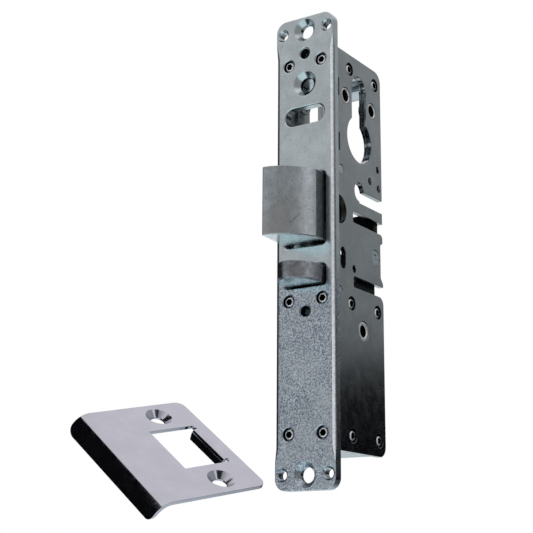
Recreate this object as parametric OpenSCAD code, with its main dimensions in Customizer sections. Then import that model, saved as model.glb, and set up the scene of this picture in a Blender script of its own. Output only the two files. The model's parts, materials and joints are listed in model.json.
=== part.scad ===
/* [Faceplate] */
// Width of the faceplate
fp_w = 24; // [22:0.1:30]
// Height of the faceplate
fp_h = 170.8; // [169:0.1:200]
// Thickness of the faceplate
fp_t = 3.5; // [3:0.1:4]
// Radius of the faceplate corners
fp_corner_r = 4; // [1:0.5:4]
// Distance between the two fixing holes
fixing_span = 160.5; // [160:0.1:161]
// Diameter of the fixing holes
fixing_hole_d = 5.4; // [4:0.1:6]
// Outer diameter of the fixing countersinks
fixing_sink_d = 8.5; // [8:0.1:9]
// Depth of the fixing countersinks
fixing_sink_depth = 1.8; // [1:0.1:2.4]
// Sideways distance between the trim screw holes
trim_span_x = 18.4; // [18.2:0.1:18.6]
// Upright distance between the trim screw holes
trim_span_z = 160.2; // [159:0.1:161]
// Diameter of the trim screw holes
trim_hole_d = 3.4; // [2.5:0.1:3.8]
// Outer diameter of the small trim screw countersinks
trim_sink_d = 4.8; // [4.2:0.1:4.8]
// Depth of the small trim screw countersinks
trim_sink_depth = 0.7; // [0.3:0.1:1]
// Diameter of the two tapped holes on the centre line
tapped_hole_d = 4; // [3:0.1:4.1]
// Height of the upper tapped hole
tapped_upper_z = 71.1; // [70.9:0.1:71.2]
// Height of the lower tapped hole
tapped_lower_z = -24.4; // [-24.6:0.1:-24]
// Height of the hole for the cylinder retaining screw
retainer_z = 59.4; // [58:0.1:60]
// Diameter of the hole for the cylinder retaining screw
retainer_hole_d = 5.6; // [5.2:0.1:6.5]
// Outer diameter of the retaining screw countersink
retainer_sink_d = 9; // [8:0.1:9.4]
// Depth of the retaining screw countersink
retainer_sink_depth = 1.9; // [1:0.1:2.4]
// Length of the oblong slot
slot_w = 16.5; // [12:0.1:17]
// Height of the oblong slot
slot_h = 6.6; // [5:0.1:7]
// Height of the middle of the oblong slot
slot_z = 47.3; // [46:0.1:49]

/* [Case] */
// Width of the case over both side plates
case_w = 21.2; // [20.8:0.1:21.8]
// Thickness of each side plate
plate_t = 2; // [1.6:0.1:2.2]
// Depth of the case behind the faceplate
case_depth = 33.8; // [33.6:0.1:36]
// Top of the side plates
case_top_z = 73.3; // [73.2:0.1:76]
// Bottom of the side plates
case_bottom_z = -72.2; // [-76:0.1:-72]
// Radius of the rear corners of the side plates
case_corner_r = 4; // [1:0.5:5]
// Depth of the two upper notches in the front edge
front_notch_depth = 3.5; // [1:0.1:4]
// Height of the lower front notch
front_notch_low_z = 37.3; // [36:0.1:38]
// Height of the upper front notch
front_notch_high_z = 58.1; // [57:0.1:59]
// Length of each front notch
front_notch_h = 6.7; // [4:0.1:8]
// Depth behind the faceplate where the rear slots end
rear_slot_end_y = 12.3; // [11:0.1:14]
// Diameter of the round inner end of the top rear slot
keyhole_d = 7; // [6:0.1:8]
// Depth of the centre of that round end
keyhole_y = 17.1; // [16:0.1:18]
// Height of the centre of that round end
keyhole_z = 22; // [21.5:0.1:22.4]
// Bottom of the top rear slot
rear_slot_top_z = 17.9; // [17.8:0.1:18.2]
// Height of the top rear slot
rear_slot_top_h = 4.8; // [4:0.1:5]
// Bottom of the middle rear slot
rear_slot_mid_z = 9.6; // [9.4:0.1:10]
// Height of the middle rear slot
rear_slot_mid_h = 4.1; // [3:0.1:4.2]
// Bottom of the low rear slot
rear_slot_low_z = -14.2; // [-14.6:0.1:-14]
// Height of the low rear slot
rear_slot_low_h = 3.9; // [3:0.1:4]
// Depth of the step in the rear edge between the slots
rear_step = 1.7; // [0.5:0.1:1.8]
// Height below the middle slot where the rear edge starts to step in
rear_step_start = 3.4; // [3:0.1:4]
// Height over which the rear edge steps in
rear_step_run = 1; // [0.6:0.1:1.4]
// Height above the low slot where the rear edge slopes out again
rear_slope_h = 3.4; // [2.5:0.1:4]
// Corner radius of the side plate under the low rear slot
low_corner_r = 3; // [2:0.1:3.4]
// Diameter of the big hole at the front edge
window_d = 10.3; // [8:0.1:11]
// Depth of the centre of the big hole
window_y = 2.5; // [2:0.1:3]
// Height of the centre of the big hole
window_z = 12.1; // [11:0.1:13]
// Width of the upright slot
upright_slot_w = 3.6; // [3:0.1:4]
// Length of the upright slot
upright_slot_h = 7.7; // [6:0.1:8]
// Depth of the upright slot
upright_slot_y = 5.1; // [4.6:0.1:6]
// Height of the middle of the upright slot
upright_slot_z = -5.1; // [-6:0.1:-5]
// Diameter of the small spare holes
small_hole_d = 2.6; // [2:0.1:3]

/* [Cylinder aperture] */
// Depth of the cylinder axis behind the faceplate
cyl_y = 17.5; // [17.2:0.1:18]
// Height of the cylinder axis
cyl_z = 42; // [41.5:0.1:42.5]
// Diameter of the round part of the aperture
cyl_round_d = 17.5; // [17.2:0.1:17.8]
// Width of the straight part of the aperture
cyl_web_w = 10.6; // [10.2:0.1:10.8]
// Top of the aperture
cyl_top_z = 66.7; // [66:0.1:66.9]
// Thickness of the inner cylinder guides
guide_t = 1.1; // [0.8:0.1:1.5]
// Front edge of the cylinder guides
guide_front_y = 4.2; // [3.8:0.1:4.6]
// Rear edge of the cylinder guides
guide_rear_y = 31; // [30.8:0.1:32]
// Bottom of the cylinder guides
guide_bottom_z = 31; // [30.5:0.1:32]
// Gap between the cylinder guides and the top spacer
guide_gap = 0.3; // [0.2:0.1:0.6]

/* [Screws and bushes] */
// Sideways distance between the faceplate screws of a pair
face_screw_span = 13.5; // [13.2:0.1:13.8]
// Depth of the front side screws
side_screw_front_y = 10.8; // [10.7:0.1:10.9]
// Depth of the rear side screws
side_screw_rear_y = 29.4; // [28.9:0.1:29.6]
// Height of the top screws
screw_top_z = 67.5; // [67.4:0.1:67.7]
// Height of the middle screws
screw_mid_z = -20.4; // [-20.5:0.1:-20.3]
// Height of the bottom screws
screw_bottom_z = -66.5; // [-67.5:0.1:-66]
// Diameter of the screw heads
screw_head_d = 4.5; // [4:0.1:4.6]
// Diameter of the screw shanks
screw_d = 2.9; // [2.4:0.1:3]
// Length of a screw under its head in the block
screw_reach = 6.5; // [4:0.1:6.8]
// Height of a faceplate screw head
face_head_h = 1.6; // [1:0.1:1.8]
// Height of a side screw head
side_head_h = 1.1; // [0.8:0.1:1.2]
// Depth of the six lobed recess
recess_depth = 0.8; // [0.4:0.1:0.9]
// Radius of the six lobed recess
recess_r = 1.15; // [0.8:0.05:1.3]
// Radius of the lobes of the recess
recess_lobe_r = 0.35; // [0.2:0.05:0.4]
// Metal left under a faceplate screw head
face_seat_t = 1.2; // [1:0.1:1.3]
// Metal left under a side screw head
side_seat_t = 0.7; // [0.5:0.1:0.8]
// Gap around each screw head
head_gap = 0.2; // [0.1:0.05:0.3]
// Gap around each screw shank and fixed pin
pin_gap = 0.03; // [0.02:0.01:0.05]
// Height of the furniture bushes
bush_z = 56.4; // [56:0.1:57]
// Depth of the front furniture bush
bush_front_y = 8.1; // [8:0.1:8.2]
// Distance between the furniture bushes
bush_span = 19; // [18.8:0.1:19.4]
// Outer diameter of the furniture bushes
bush_d = 6; // [5.6:0.1:6.2]
// Diameter of the tapped hole in the furniture bushes
bush_bore_d = 4.4; // [4:0.1:4.8]
// Diameter of the flange on the furniture bushes
bush_flange_d = 7.4; // [7:0.1:7.6]
// Thickness of the flange on the furniture bushes
bush_flange_t = 0.8; // [0.5:0.1:1.2]
// Length that each inner end of a fixed pin stands back from the outer face
pin_recess = 0.2; // [0.1:0.1:0.4]

/* [Spacers] */
// Height of the spacer blocks under and over their screws
spacer_margin = 4.9; // [4:0.1:5]
// Bottom of the top spacer
top_spacer_z = 63.6; // [63.4:0.1:64]
// Gap between the top spacer and the cylinder
arch_gap = 0; // [0:0.1:0.2]
// Depth of the middle spacer
mid_spacer_depth = 13.2; // [12.8:0.1:13.2]
// Top of the middle spacer
mid_spacer_top_z = -18.6; // [-18.6:0.1:-18.5]
// Bottom of the middle spacer
mid_spacer_bottom_z = -26.8; // [-27:0.1:-26.7]
// Diameter of the rear spacer post
post_d = 7; // [6:0.1:7.2]
// Distance of the bottom spacer from the rear edge
bottom_spacer_set_back = 0.6; // [0.2:0.1:1]

/* [Latch] */
// Width of the latch bolt
latch_w = 16; // [15.8:0.1:16.1]
// Height of the latch bolt
latch_h = 24.5; // [24.3:0.1:24.6]
// Underside of the latch bolt
latch_z = -0.4; // [-0.4:0.1:-0.3]
// Radius of the latch bevel
latch_bevel_r = 17.2; // [17:0.1:17.6]
// How far the bevel centre lies beside the bolt
latch_bevel_shift = 0.4; // [0.2:0.1:0.6]
// How far the square side leans in at the tip
latch_lean = 1.5; // [0:0.1:2]
// Depth of the latch bolt behind the faceplate
latch_rear_y = 13.6; // [13.4:0.1:13.6]
// Travel of the latch bolt
latch_travel = 16; // [15:0.1:16]
// Gap beside the latch bolt in the faceplate
latch_side_gap = 0.4; // [0.3:0.1:0.5]
// Gap over and under the latch bolt in the faceplate
latch_end_gap = 0.8; // [0.5:0.1:1]
// Radius of the corners of the bolt openings
opening_corner_r = 1.6; // [0.5:0.1:2]
// Depth of the latch pin behind the faceplate
latch_pin_y = 11; // [11:0.1:11.1]
// Height of the latch pin
latch_pin_z = 19.5; // [19.3:0.1:19.6]
// Diameter of the latch pin
latch_pin_d = 3.5; // [3:0.1:3.6]
// Width of the slot for the retractor lever
lever_slot_w = 3.6; // [3.4:0.1:3.8]
// Front of the slot for the retractor lever
lever_slot_y = 3.9; // [3.5:0.1:3.9]
// Diameter of the side buttons
button_d = 7.2; // [6:0.1:8]
// How far the side buttons stand out
button_proud = 0.15; // [0.1:0.05:0.2]
// Depth of the recess for a side button
button_recess = 0.35; // [0.2:0.05:0.4]
// Depth behind the faceplate of the latch guide studs
stud_y = 4.45; // [4:0.05:4.8]
// Diameter of the latch guide studs
stud_d = 5.4; // [5:0.1:5.6]
// Diameter of the riveted ends of the studs
stud_end_d = 3.7; // [3:0.1:4]
// Gap between the latch bolt and what guides it
guide_clearance = 0.3; // [0.2:0.05:0.4]
// Length of each latch guide stud inside the case
stud_reach = 5; // [3:0.1:6]

/* [Retractor lever] */
// Depth of the lever pivot
pivot_y = 19; // [19:0.1:19.1]
// Height of the lever pivot
pivot_z = -28.9; // [-29.4:0.1:-28.6]
// Outer diameter of the pivot bush
pivot_bush_d = 7; // [6.6:0.1:7.2]
// Bore of the pivot bush
pivot_bore_d = 4.4; // [4:0.1:5]
// Running gap on the pivots
running_gap = 0.05; // [0.02:0.01:0.09]
// Thickness of the retractor lever
lever_t = 2.8; // [2.6:0.1:2.9]
// Radius of the lever around its pivot
lever_boss_r = 5.3; // [5:0.1:5.4]
// Width of the lever arm
lever_arm_w = 6.2; // [5:0.1:6.3]
// Radius of the lever around the latch pin
lever_eye_r = 3.7; // [3.3:0.1:3.8]
// Radius of the lever tip
lever_tip_r = 2.5; // [2:0.1:2.6]
// Length of the lever from its pivot to its tip centre
lever_len = 56; // [55:0.1:56.2]
// Outer diameter of the lever side spacers
lever_spacer_d = 10; // [9:0.1:10.4]
// Sideways gap beside the lever
lever_side_gap = 0.1; // [0.05:0.05:0.2]

/* [Latch spring] */
// Distance of the latch spring from the middle of the case
latch_spring_x = 5; // [4.9:0.1:5.1]
// Height of the latch spring
latch_spring_z = 13.5; // [13.4:0.1:13.6]
// Wire diameter of the latch spring
latch_wire_d = 0.8; // [0.6:0.05:0.9]
// Mean diameter of the latch spring
latch_coil_d = 3.6; // [3.4:0.1:3.7]
// Number of turns of the latch spring
latch_turns = 12; // [8:1:14]
// Front end of the latch spring bore
latch_bore_y = 2; // [1.5:0.1:2.5]
// Radial gap around the springs in their bores
spring_gap = 0.25; // [0.2:0.05:0.3]
// Gap at each end of a spring
spring_end_gap = 0.1; // [0.05:0.05:0.3]
// Diameter of the spring rods
rod_d = 2; // [1.6:0.1:2.1]
// Depth of the spring seat block
seat_y = 30.5; // [30.4:0.1:30.6]
// Thickness of the spring seat block
seat_t = 3.1; // [2:0.1:3.2]
// Bottom of the spring seat block
seat_z = 9.5; // [9:0.1:10]
// Height of the spring seat block
seat_h = 8.1; // [8:0.1:8.3]
// Diameter of the round ends that locate the seat
spigot_d = 3; // [2.4:0.1:3.4]
// Height of the round ends that locate the seat
spigot_z = 15.7; // [15.6:0.1:15.8]
// Depth of the blind holes for the round ends
spigot_depth = 1; // [0.6:0.1:1.2]
// Depth of each rod in its seat
rod_seat_depth = 2; // [1:0.1:2.4]

/* [Auxiliary bolt] */
// Width of the auxiliary bolt
aux_w = 15.8; // [15.6:0.1:16]
// Height of the auxiliary bolt
aux_h = 6.2; // [6:0.1:6.3]
// Underside of the auxiliary bolt
aux_z = -15.4; // [-15.5:0.1:-15.3]
// How far the auxiliary bolt stands out of the faceplate
aux_throw = 12.6; // [12:0.1:13]
// Radius of the curved flanks of the auxiliary bolt
aux_flank_r = 12.5; // [11:0.1:13]
// Length of the straight flanks in front of the faceplate
aux_straight = 1.5; // [1:0.1:2]
// Front of the notch that clears the retractor lever
aux_notch_y = 1.2; // [0.6:0.1:1.4]
// Depth of the auxiliary bolt behind the faceplate
aux_rear_y = 4; // [3.8:0.1:4.2]
// Travel of the auxiliary bolt
aux_travel = 10.5; // [10:0.1:10.6]
// Gap around the auxiliary bolt in the faceplate
aux_gap = 0.5; // [0.3:0.1:0.6]
// Thickness of the tail plate
tail_t = 1.9; // [1.7:0.1:1.9]
// Middle of the tail plate to one side of the case
tail_x = 5.2; // [5.15:0.05:5.25]
// Metal around the slot of the tail plate
tail_wall = 1.6; // [1.3:0.1:1.7]
// Top edge of the tail plate
tail_top_z = -0.9; // [-1.2:0.1:-0.8]
// Depth of the slot in the bolt that holds the tail plate
tail_root = 5; // [4:0.1:5.5]
// Depth of the guide pin under the auxiliary bolt
aux_pin_y = 3; // [2.6:0.1:3.4]
// Diameter of the guide pin under the auxiliary bolt
aux_pin_d = 2.8; // [2.4:0.1:2.9]
// Gap between the auxiliary bolt and its guide pin
aux_pin_gap = 0.15; // [0.1:0.05:0.2]
// Wire diameter of the auxiliary spring
aux_wire_d = 0.7; // [0.5:0.05:0.8]
// Mean diameter of the auxiliary spring
aux_coil_d = 3.4; // [3.2:0.1:3.5]
// Number of turns of the auxiliary spring
aux_turns = 9; // [6:1:12]
// Distance of the auxiliary spring from the middle of the case
aux_spring_x = 4.9; // [4.8:0.1:5]
// Front end of the auxiliary spring bore
aux_bore_y = -6; // [-6.5:0.1:-5]
// Depth of the auxiliary spring seat
aux_seat_y = 17; // [16.8:0.1:17.2]
// Thickness of the auxiliary spring seat
aux_seat_t = 3; // [2.8:0.1:3.2]
// Bottom of the auxiliary spring seat
aux_seat_z = -19.2; // [-20:0.1:-19]
// Height of the auxiliary spring seat
aux_seat_h = 10; // [9.6:0.1:10.2]
// Height of the round end that locates the auxiliary seat
aux_spigot_z = -17.1; // [-17.3:0.1:-17]
// Inner face of the auxiliary seat to one side of the case
aux_seat_inner_x = 2.2; // [2:0.1:2.4]

/* [Deadlock lever] */
// Depth of the deadlock pivot
dead_y = 28.5; // [28.4:0.1:28.6]
// Height of the deadlock pivot
dead_z = -0.3; // [-0.4:0.1:-0.2]
// Diameter of the deadlock pivot
dead_pivot_d = 6; // [5.6:0.1:6]
// Radius of the plates around the pivot
dead_boss_r = 4.2; // [3.9:0.1:4.2]
// Turn of the deadlock lever over the whole bolt travel
dead_turn = 26; // [25.5:0.1:26]
// Depth of the nose of the deadlock lever
nose_y = 13.2; // [13.2:0.1:13.3]
// Top edge of the deadlock lever
nose_z = -0.8; // [-0.9:0.1:-0.8]
// Depth of the deadlock pin at rest
dead_pin_y = 16.5; // [16.4:0.1:16.6]
// Height of the deadlock pin at rest
dead_pin_z = -9.8; // [-9.9:0.1:-9.7]
// Diameter of the deadlock pin
dead_pin_d = 3; // [2.8:0.1:3]
// Radius of the plates around the deadlock pin
dead_lobe_r = 2.8; // [2.6:0.1:2.8]
// Thickness of each deadlock plate
dead_t = 1.9; // [1.6:0.1:1.9]
// Rear edge of the deadlock plates
dead_rear_y = 31.6; // [31:0.1:32]
// Bottom edge of the deadlock plates
dead_bottom_z = -14; // [-14:0.1:-13.6]
// Chamfer on the rear corners of the deadlock plates
dead_chamfer = 1; // [0.5:0.1:1.5]
// Sideways gap between the tail plate and each deadlock plate
lane_gap = 0.15; // [0.1:0.05:0.2]
// Gap around the deadlock pin in the slanted slot
slot_gap = 0.25; // [0.23:0.01:0.3]
// Gap between the deadlock lever and the latch bolt
nose_gap = 0.5; // [0.4:0.1:0.6]
// Depth at which the underside of the latch bolt steps up for the deadlock pivot
pivot_step_y = 7.9; // [7.7:0.1:7.9]
// Diameter of the spacer ring between the plates
dead_spacer_d = 8; // [7.4:0.1:8]
// Thickness of the retaining clip
clip_t = 0.4; // [0.3:0.05:0.4]
// Length of the deadlock pivot past its clip
clip_reach = 0.1; // [0.05:0.05:0.2]
// Depth of the dimple in the riveted end of the deadlock pivot
dimple_depth = 0.6; // [0.4:0.1:1]
// Outer diameter of the retaining clip
clip_d = 7.8; // [7:0.1:8]
// Depth of the clip groove
clip_groove = 0.6; // [0.4:0.1:0.8]

/* [Strike] */
// Height of the strike plate
strike_h = 63.5; // [60:0.5:80]
// Width of the flat part of the strike plate
strike_w = 45; // [40:0.5:60]
// Thickness of the strike plate
strike_t = 1.5; // [1.2:0.1:2]
// Distance from the mouth centre to the free edge
strike_edge = 16.7; // [15:0.1:20]
// Outer radius of the curved lip
lip_r = 8.3; // [6:0.1:10]
// Radius of the strike corners
strike_corner_r = 4; // [2:0.5:5]
// Width of the strike mouth
mouth_w = 21.7; // [19:0.1:22]
// Height of the strike mouth
mouth_h = 27; // [25.5:0.1:28]
// Distance between the strike screw holes
strike_hole_span = 46.2; // [45:0.1:50]
// Diameter of the strike screw holes
strike_hole_d = 6; // [5:0.1:6.5]
// Outer diameter of the strike dimples
strike_sink_d = 11.5; // [10:0.1:12]
// Depth of the strike dimples
strike_sink_depth = 2.4; // [2:0.1:2.8]
// Width of the metal round the foot of each dimple
dimple_wall = 1.05; // [0.95:0.05:1.2]
// Straight length of each screw hole under its dimple
strike_land = 0.8; // [0.5:0.1:1]
// Outer radius of the bend of the strike tab
tab_bend_r = 2.4; // [2:0.1:3]
// Length of the strike tab along the mouth
tab_w = 22.4; // [20:0.1:23]
// Length of the straight part of the strike tab
tab_drop = 2.6; // [1:0.1:4]
// Relief at each end of the tab
tab_relief = 0.8; // [0.5:0.1:1.2]
// Place of the strike mouth beside, behind and below the lock
strike_x = -83; // [-100:0.5:-75]
// Depth of the strike mouth
strike_y = 41.2; // [30:0.1:60]
// Height of the strike mouth
strike_z = -62.4; // [-80:0.1:-40]
// Roll of the strike plate
strike_roll = 36.8; // [0:0.1:90]
// Pitch of the strike plate
strike_pitch = -11; // [-45:0.1:45]
// Turn of the strike plate
strike_turn = 72.4; // [0:0.1:180]

/* [Hidden] */
$fn = 48;
// Facets of the large curves
fine_facets = 96;
// Facets of the lobes of a screw recess
lobe_facets = 16;
// How far cuts run past what they cut
over = 1;
recess_lobes = 6;
zinc = [0.66, 0.69, 0.73];
zinc_dull = [0.45, 0.48, 0.5];
black_steel = [0.08, 0.08, 0.09];
bright_steel = [0.75, 0.75, 0.77];
brass = [0.62, 0.52, 0.3];
spring_steel = [0.35, 0.35, 0.37];
stainless = [0.78, 0.77, 0.8];

face_y = -fp_t;
outer_x = case_w / 2;
inner_x = outer_x - plate_t;
guide_x = inner_x - guide_t;
screw_levels = [screw_top_z, screw_mid_z, screw_bottom_z];
side_screw_ys = [side_screw_front_y, side_screw_rear_y];
bush_ys = [bush_front_y, bush_front_y + bush_span];
bush_x = guide_x - bush_flange_t;
head_hole_r = screw_head_d / 2 + head_gap;
screw_hole_r = screw_d / 2 + pin_gap;
guide_top_z = top_spacer_z - guide_gap;
latch_top_z = latch_z + latch_h;
stud_z = latch_top_z + guide_clearance + stud_d / 2;
aux_top_z = aux_z + aux_h;
aux_pin_z = aux_z - aux_pin_gap - aux_pin_d / 2;
aux_spring_z = aux_z + aux_h / 2;
lever_lean = atan((pivot_y - latch_pin_y) / (latch_pin_z - pivot_z));
lever_pin_len = norm([pivot_y - latch_pin_y, latch_pin_z - pivot_z]);
lever_back_len = norm([latch_pin_y + latch_travel - pivot_y, latch_pin_z - pivot_z]);
lever_mid_len = latch_pin_z - pivot_z;
tail_near_x = tail_x - tail_t / 2 - lane_gap;
tail_far_x = tail_x + tail_t / 2 + lane_gap;
pin_slot_r = dead_pin_d / 2 + slot_gap;
tail_bar_r = pin_slot_r + tail_wall;
clip_x = tail_near_x - dead_t - lane_gap - clip_t;
latch_spring_len = seat_y - latch_bore_y - 2 * spring_end_gap;
aux_spring_len = aux_seat_y - aux_bore_y - 2 * spring_end_gap;
tab_x = mouth_w / 2;
tab_centre_x = tab_x + strike_t / 2;
rear_step_y = case_depth - rear_step;
rear_slot_r = opening_corner_r / 2;
clip_mouth_w = dead_pivot_d / 2;
// Small holes of the side plates, as depth and height
small_holes = [[30.8, 34.2], [24.9, 28.2], [31.3, 26.9], [12.8, -7.6]];

// Turns a point of the side view about the deadlock pivot, the front going up
function raised(p, angle) = [
    dead_y + (p[0] - dead_y) * cos(angle) + (p[1] - dead_z) * sin(angle),
    dead_z - (p[0] - dead_y) * sin(angle) + (p[1] - dead_z) * cos(angle)];
// Place of the deadlock pin in the tail plate at a share of the travel
function pin_in_tail(share) =
    raised([dead_pin_y, dead_pin_z], dead_turn * share) - [aux_travel * share, 0];
// Tip of the raised nose
raised_nose = raised([nose_y, nose_z], dead_turn);

// Extrudes a side view, drawn as depth and height, along X
module along_x(x, t) {
    translate([x, 0, 0])
        rotate([90, 0, 90])
            linear_extrude(t)
                children();
}
// Extrudes a front view, drawn as width and height, along Y
module along_y(y, t) {
    translate([0, y + t, 0])
        rotate([90, 0, 0])
            linear_extrude(t)
                children();
}
// Round bar along X
module bar_x(y, z, r, x0, x1) {
    translate([x0, y, z])
        rotate([0, 90, 0])
            cylinder(h = x1 - x0, r = r);
}
// Round bar along Y
module bar_y(x, z, r, y0, y1) {
    translate([x, y0, z])
        rotate([-90, 0, 0])
            cylinder(h = y1 - y0, r = r);
}
// Cone along Y from the front inwards
module sink_y(x, z, r0, r1, y, depth) {
    translate([x, y, z])
        rotate([-90, 0, 0])
            cylinder(h = depth, r1 = r0, r2 = r1);
}
// What rounding takes off a corner that points to +X +Y and lies at the origin
module corner_cut(r) {
    translate([-r, -r])
        difference() {
            square([r + over, r + over]);
            circle(r = r);
        }
}
// Rectangle with four round corners, centred
module round_rect(w, h, r) {
    difference() {
        square([w, h], center = true);
        for (sx = [0, 1])
            for (sy = [0, 1])
                mirror([sx, 0])
                    mirror([0, sy])
                        translate([w / 2, h / 2])
                            corner_cut(r);
    }
}
// Slot with round ends between two points
module slot_2d(a, b, r) {
    d = b - a;
    translate(a)
        rotate(atan2(d[1], d[0])) {
            circle(r = r);
            translate([norm(d), 0])
                circle(r = r);
            translate([0, -r])
                square([norm(d), 2 * r]);
        }
}

module cylinder_aperture_2d() {
    translate([cyl_y, cyl_z])
        circle(r = cyl_round_d / 2);
    slot_2d([cyl_y, cyl_z], [cyl_y, cyl_top_z - cyl_web_w / 2], cyl_web_w / 2);
}

// Six lobed drive recess
module recess_2d() {
    circle(r = recess_r - recess_lobe_r);
    for (i = [0 : recess_lobes - 1])
        rotate(360 / recess_lobes * i)
            translate([recess_r - recess_lobe_r, 0])
                circle(r = recess_lobe_r, $fn = lobe_facets);
}
// Screw along +Z with its head on top and the seat of the head at the origin
module screw(head_h, under) {
    difference() {
        union() {
            cylinder(h = head_h, r = screw_head_d / 2);
            translate([0, 0, -under])
                cylinder(h = under, r = screw_d / 2);
        }
        translate([0, 0, head_h - recess_depth])
            linear_extrude(recess_depth + over)
                recess_2d();
    }
}

module faceplate() {
    color(zinc)
    difference() {
        along_y(face_y, fp_t)
            round_rect(fp_w, fp_h, fp_corner_r);
        along_y(face_y - over, fp_t + 2 * over) {
            translate([0, latch_z + latch_h / 2])
                round_rect(latch_w + 2 * latch_side_gap, latch_h + 2 * latch_end_gap, opening_corner_r);
            translate([0, aux_z + aux_h / 2])
                round_rect(aux_w + 2 * aux_gap, aux_h + 2 * aux_gap, opening_corner_r);
            slot_2d([slot_h / 2 - slot_w / 2, slot_z], [slot_w / 2 - slot_h / 2, slot_z], slot_h / 2);
        }
        for (s = [-1, 1]) {
            bar_y(0, s * fixing_span / 2, fixing_hole_d / 2, face_y - over, over);
            sink_y(0, s * fixing_span / 2, fixing_sink_d / 2, fixing_hole_d / 2, face_y, fixing_sink_depth);
            for (sx = [-1, 1]) {
                bar_y(sx * trim_span_x / 2, s * trim_span_z / 2, trim_hole_d / 2, face_y - over, over);
                sink_y(sx * trim_span_x / 2, s * trim_span_z / 2, trim_sink_d / 2, trim_hole_d / 2,
                    face_y, trim_sink_depth);
            }
        }
        for (z = [tapped_upper_z, tapped_lower_z])
            bar_y(0, z, tapped_hole_d / 2, face_y - over, over);
        bar_y(0, retainer_z, retainer_hole_d / 2, face_y - over, over);
        sink_y(0, retainer_z, retainer_sink_d / 2, retainer_hole_d / 2, face_y, retainer_sink_depth);
        for (z = screw_levels)
            for (s = [-1, 1]) {
                bar_y(s * face_screw_span / 2, z, screw_hole_r, face_y - over, over);
                bar_y(s * face_screw_span / 2, z, head_hole_r, face_y - over, -face_seat_t);
            }
    }
}

// Outline of a side plate with every hole that goes right through
module side_plate_2d() {
    difference() {
        translate([0, case_bottom_z])
            square([case_depth, case_top_z - case_bottom_z]);
        translate([case_depth, case_top_z])
            corner_cut(case_corner_r);
        translate([case_depth, case_bottom_z])
            mirror([0, 1])
                corner_cut(case_corner_r);
        cylinder_aperture_2d();
        for (z = [front_notch_low_z, front_notch_high_z])
            translate([-over, z - front_notch_h / 2])
                square([front_notch_depth + over, front_notch_h]);
        translate([keyhole_y, keyhole_z])
            circle(r = keyhole_d / 2);
        translate([keyhole_y, rear_slot_top_z])
            square([case_depth, rear_slot_top_h]);
        translate([rear_slot_end_y + case_depth / 2, rear_slot_mid_z + rear_slot_mid_h / 2])
            round_rect(case_depth, rear_slot_mid_h, rear_slot_r);
        translate([rear_slot_end_y + case_depth / 2, rear_slot_low_z + rear_slot_low_h / 2])
            round_rect(case_depth, rear_slot_low_h, rear_slot_r);
        translate([case_depth, rear_slot_low_z])
            corner_cut(low_corner_r);
        translate([case_depth, rear_slot_mid_z])
            corner_cut(rear_step);
        polygon([[case_depth + over, rear_slot_mid_z - rear_step_start],
            [case_depth - rear_step / 2, rear_slot_mid_z - rear_step_start],
            [rear_step_y, rear_slot_mid_z - rear_step_start - rear_step_run],
            [rear_step_y, rear_slot_low_z + rear_slot_low_h + rear_slope_h],
            [case_depth + over, rear_slot_low_z + rear_slot_low_h]]);
        translate([window_y, window_z])
            circle(r = window_d / 2);
        slot_2d([upright_slot_y, upright_slot_z - (upright_slot_h - upright_slot_w) / 2],
            [upright_slot_y, upright_slot_z + (upright_slot_h - upright_slot_w) / 2],
            upright_slot_w / 2);
        for (y = bush_ys)
            translate([y, bush_z])
                circle(r = bush_d / 2 + pin_gap);
        for (p = small_holes)
            translate(p)
                circle(r = small_hole_d / 2);
        translate([stud_y, stud_z])
            circle(r = stud_end_d / 2 + pin_gap);
        translate([pivot_y, pivot_z])
            circle(r = pivot_bush_d / 2 + pin_gap);
        translate([dead_y, dead_z])
            circle(r = dead_pivot_d / 2 + pin_gap);
        translate([aux_pin_y, aux_pin_z])
            circle(r = aux_pin_d / 2 + pin_gap);
        for (y = side_screw_ys)
            for (z = screw_levels)
                translate([y, z])
                    circle(r = screw_hole_r);
    }
}

// Right side plate, which the left one mirrors
module side_plate_solid() {
    difference() {
        along_x(inner_x, plate_t)
            side_plate_2d();
        for (y = side_screw_ys)
            for (z = screw_levels)
                bar_x(y, z, head_hole_r, inner_x + side_seat_t, outer_x + over);
        bar_x(seat_y + seat_t / 2, spigot_z, spigot_d / 2 + pin_gap,
            inner_x - over, inner_x + spigot_depth + pin_gap);
    }
}
module side_plate_right() {
    color(zinc_dull)
        side_plate_solid();
}
module side_plate_left() {
    color(zinc_dull)
    difference() {
        mirror([1, 0, 0])
            side_plate_solid();
        bar_x(aux_seat_y + aux_seat_t / 2, aux_spigot_z, spigot_d / 2 + pin_gap,
            -inner_x - spigot_depth - pin_gap, -inner_x + over);
    }
}

module cylinder_guide_solid() {
    along_x(guide_x, guide_t)
        difference() {
            translate([guide_front_y, guide_bottom_z])
                square([guide_rear_y - guide_front_y, guide_top_z - guide_bottom_z]);
            cylinder_aperture_2d();
            for (y = bush_ys)
                translate([y, bush_z])
                    circle(r = bush_d / 2 + pin_gap);
        }
}
module cylinder_guide_right() {
    color(zinc_dull)
        cylinder_guide_solid();
}
module cylinder_guide_left() {
    color(zinc_dull)
    mirror([1, 0, 0])
        cylinder_guide_solid();
}

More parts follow.
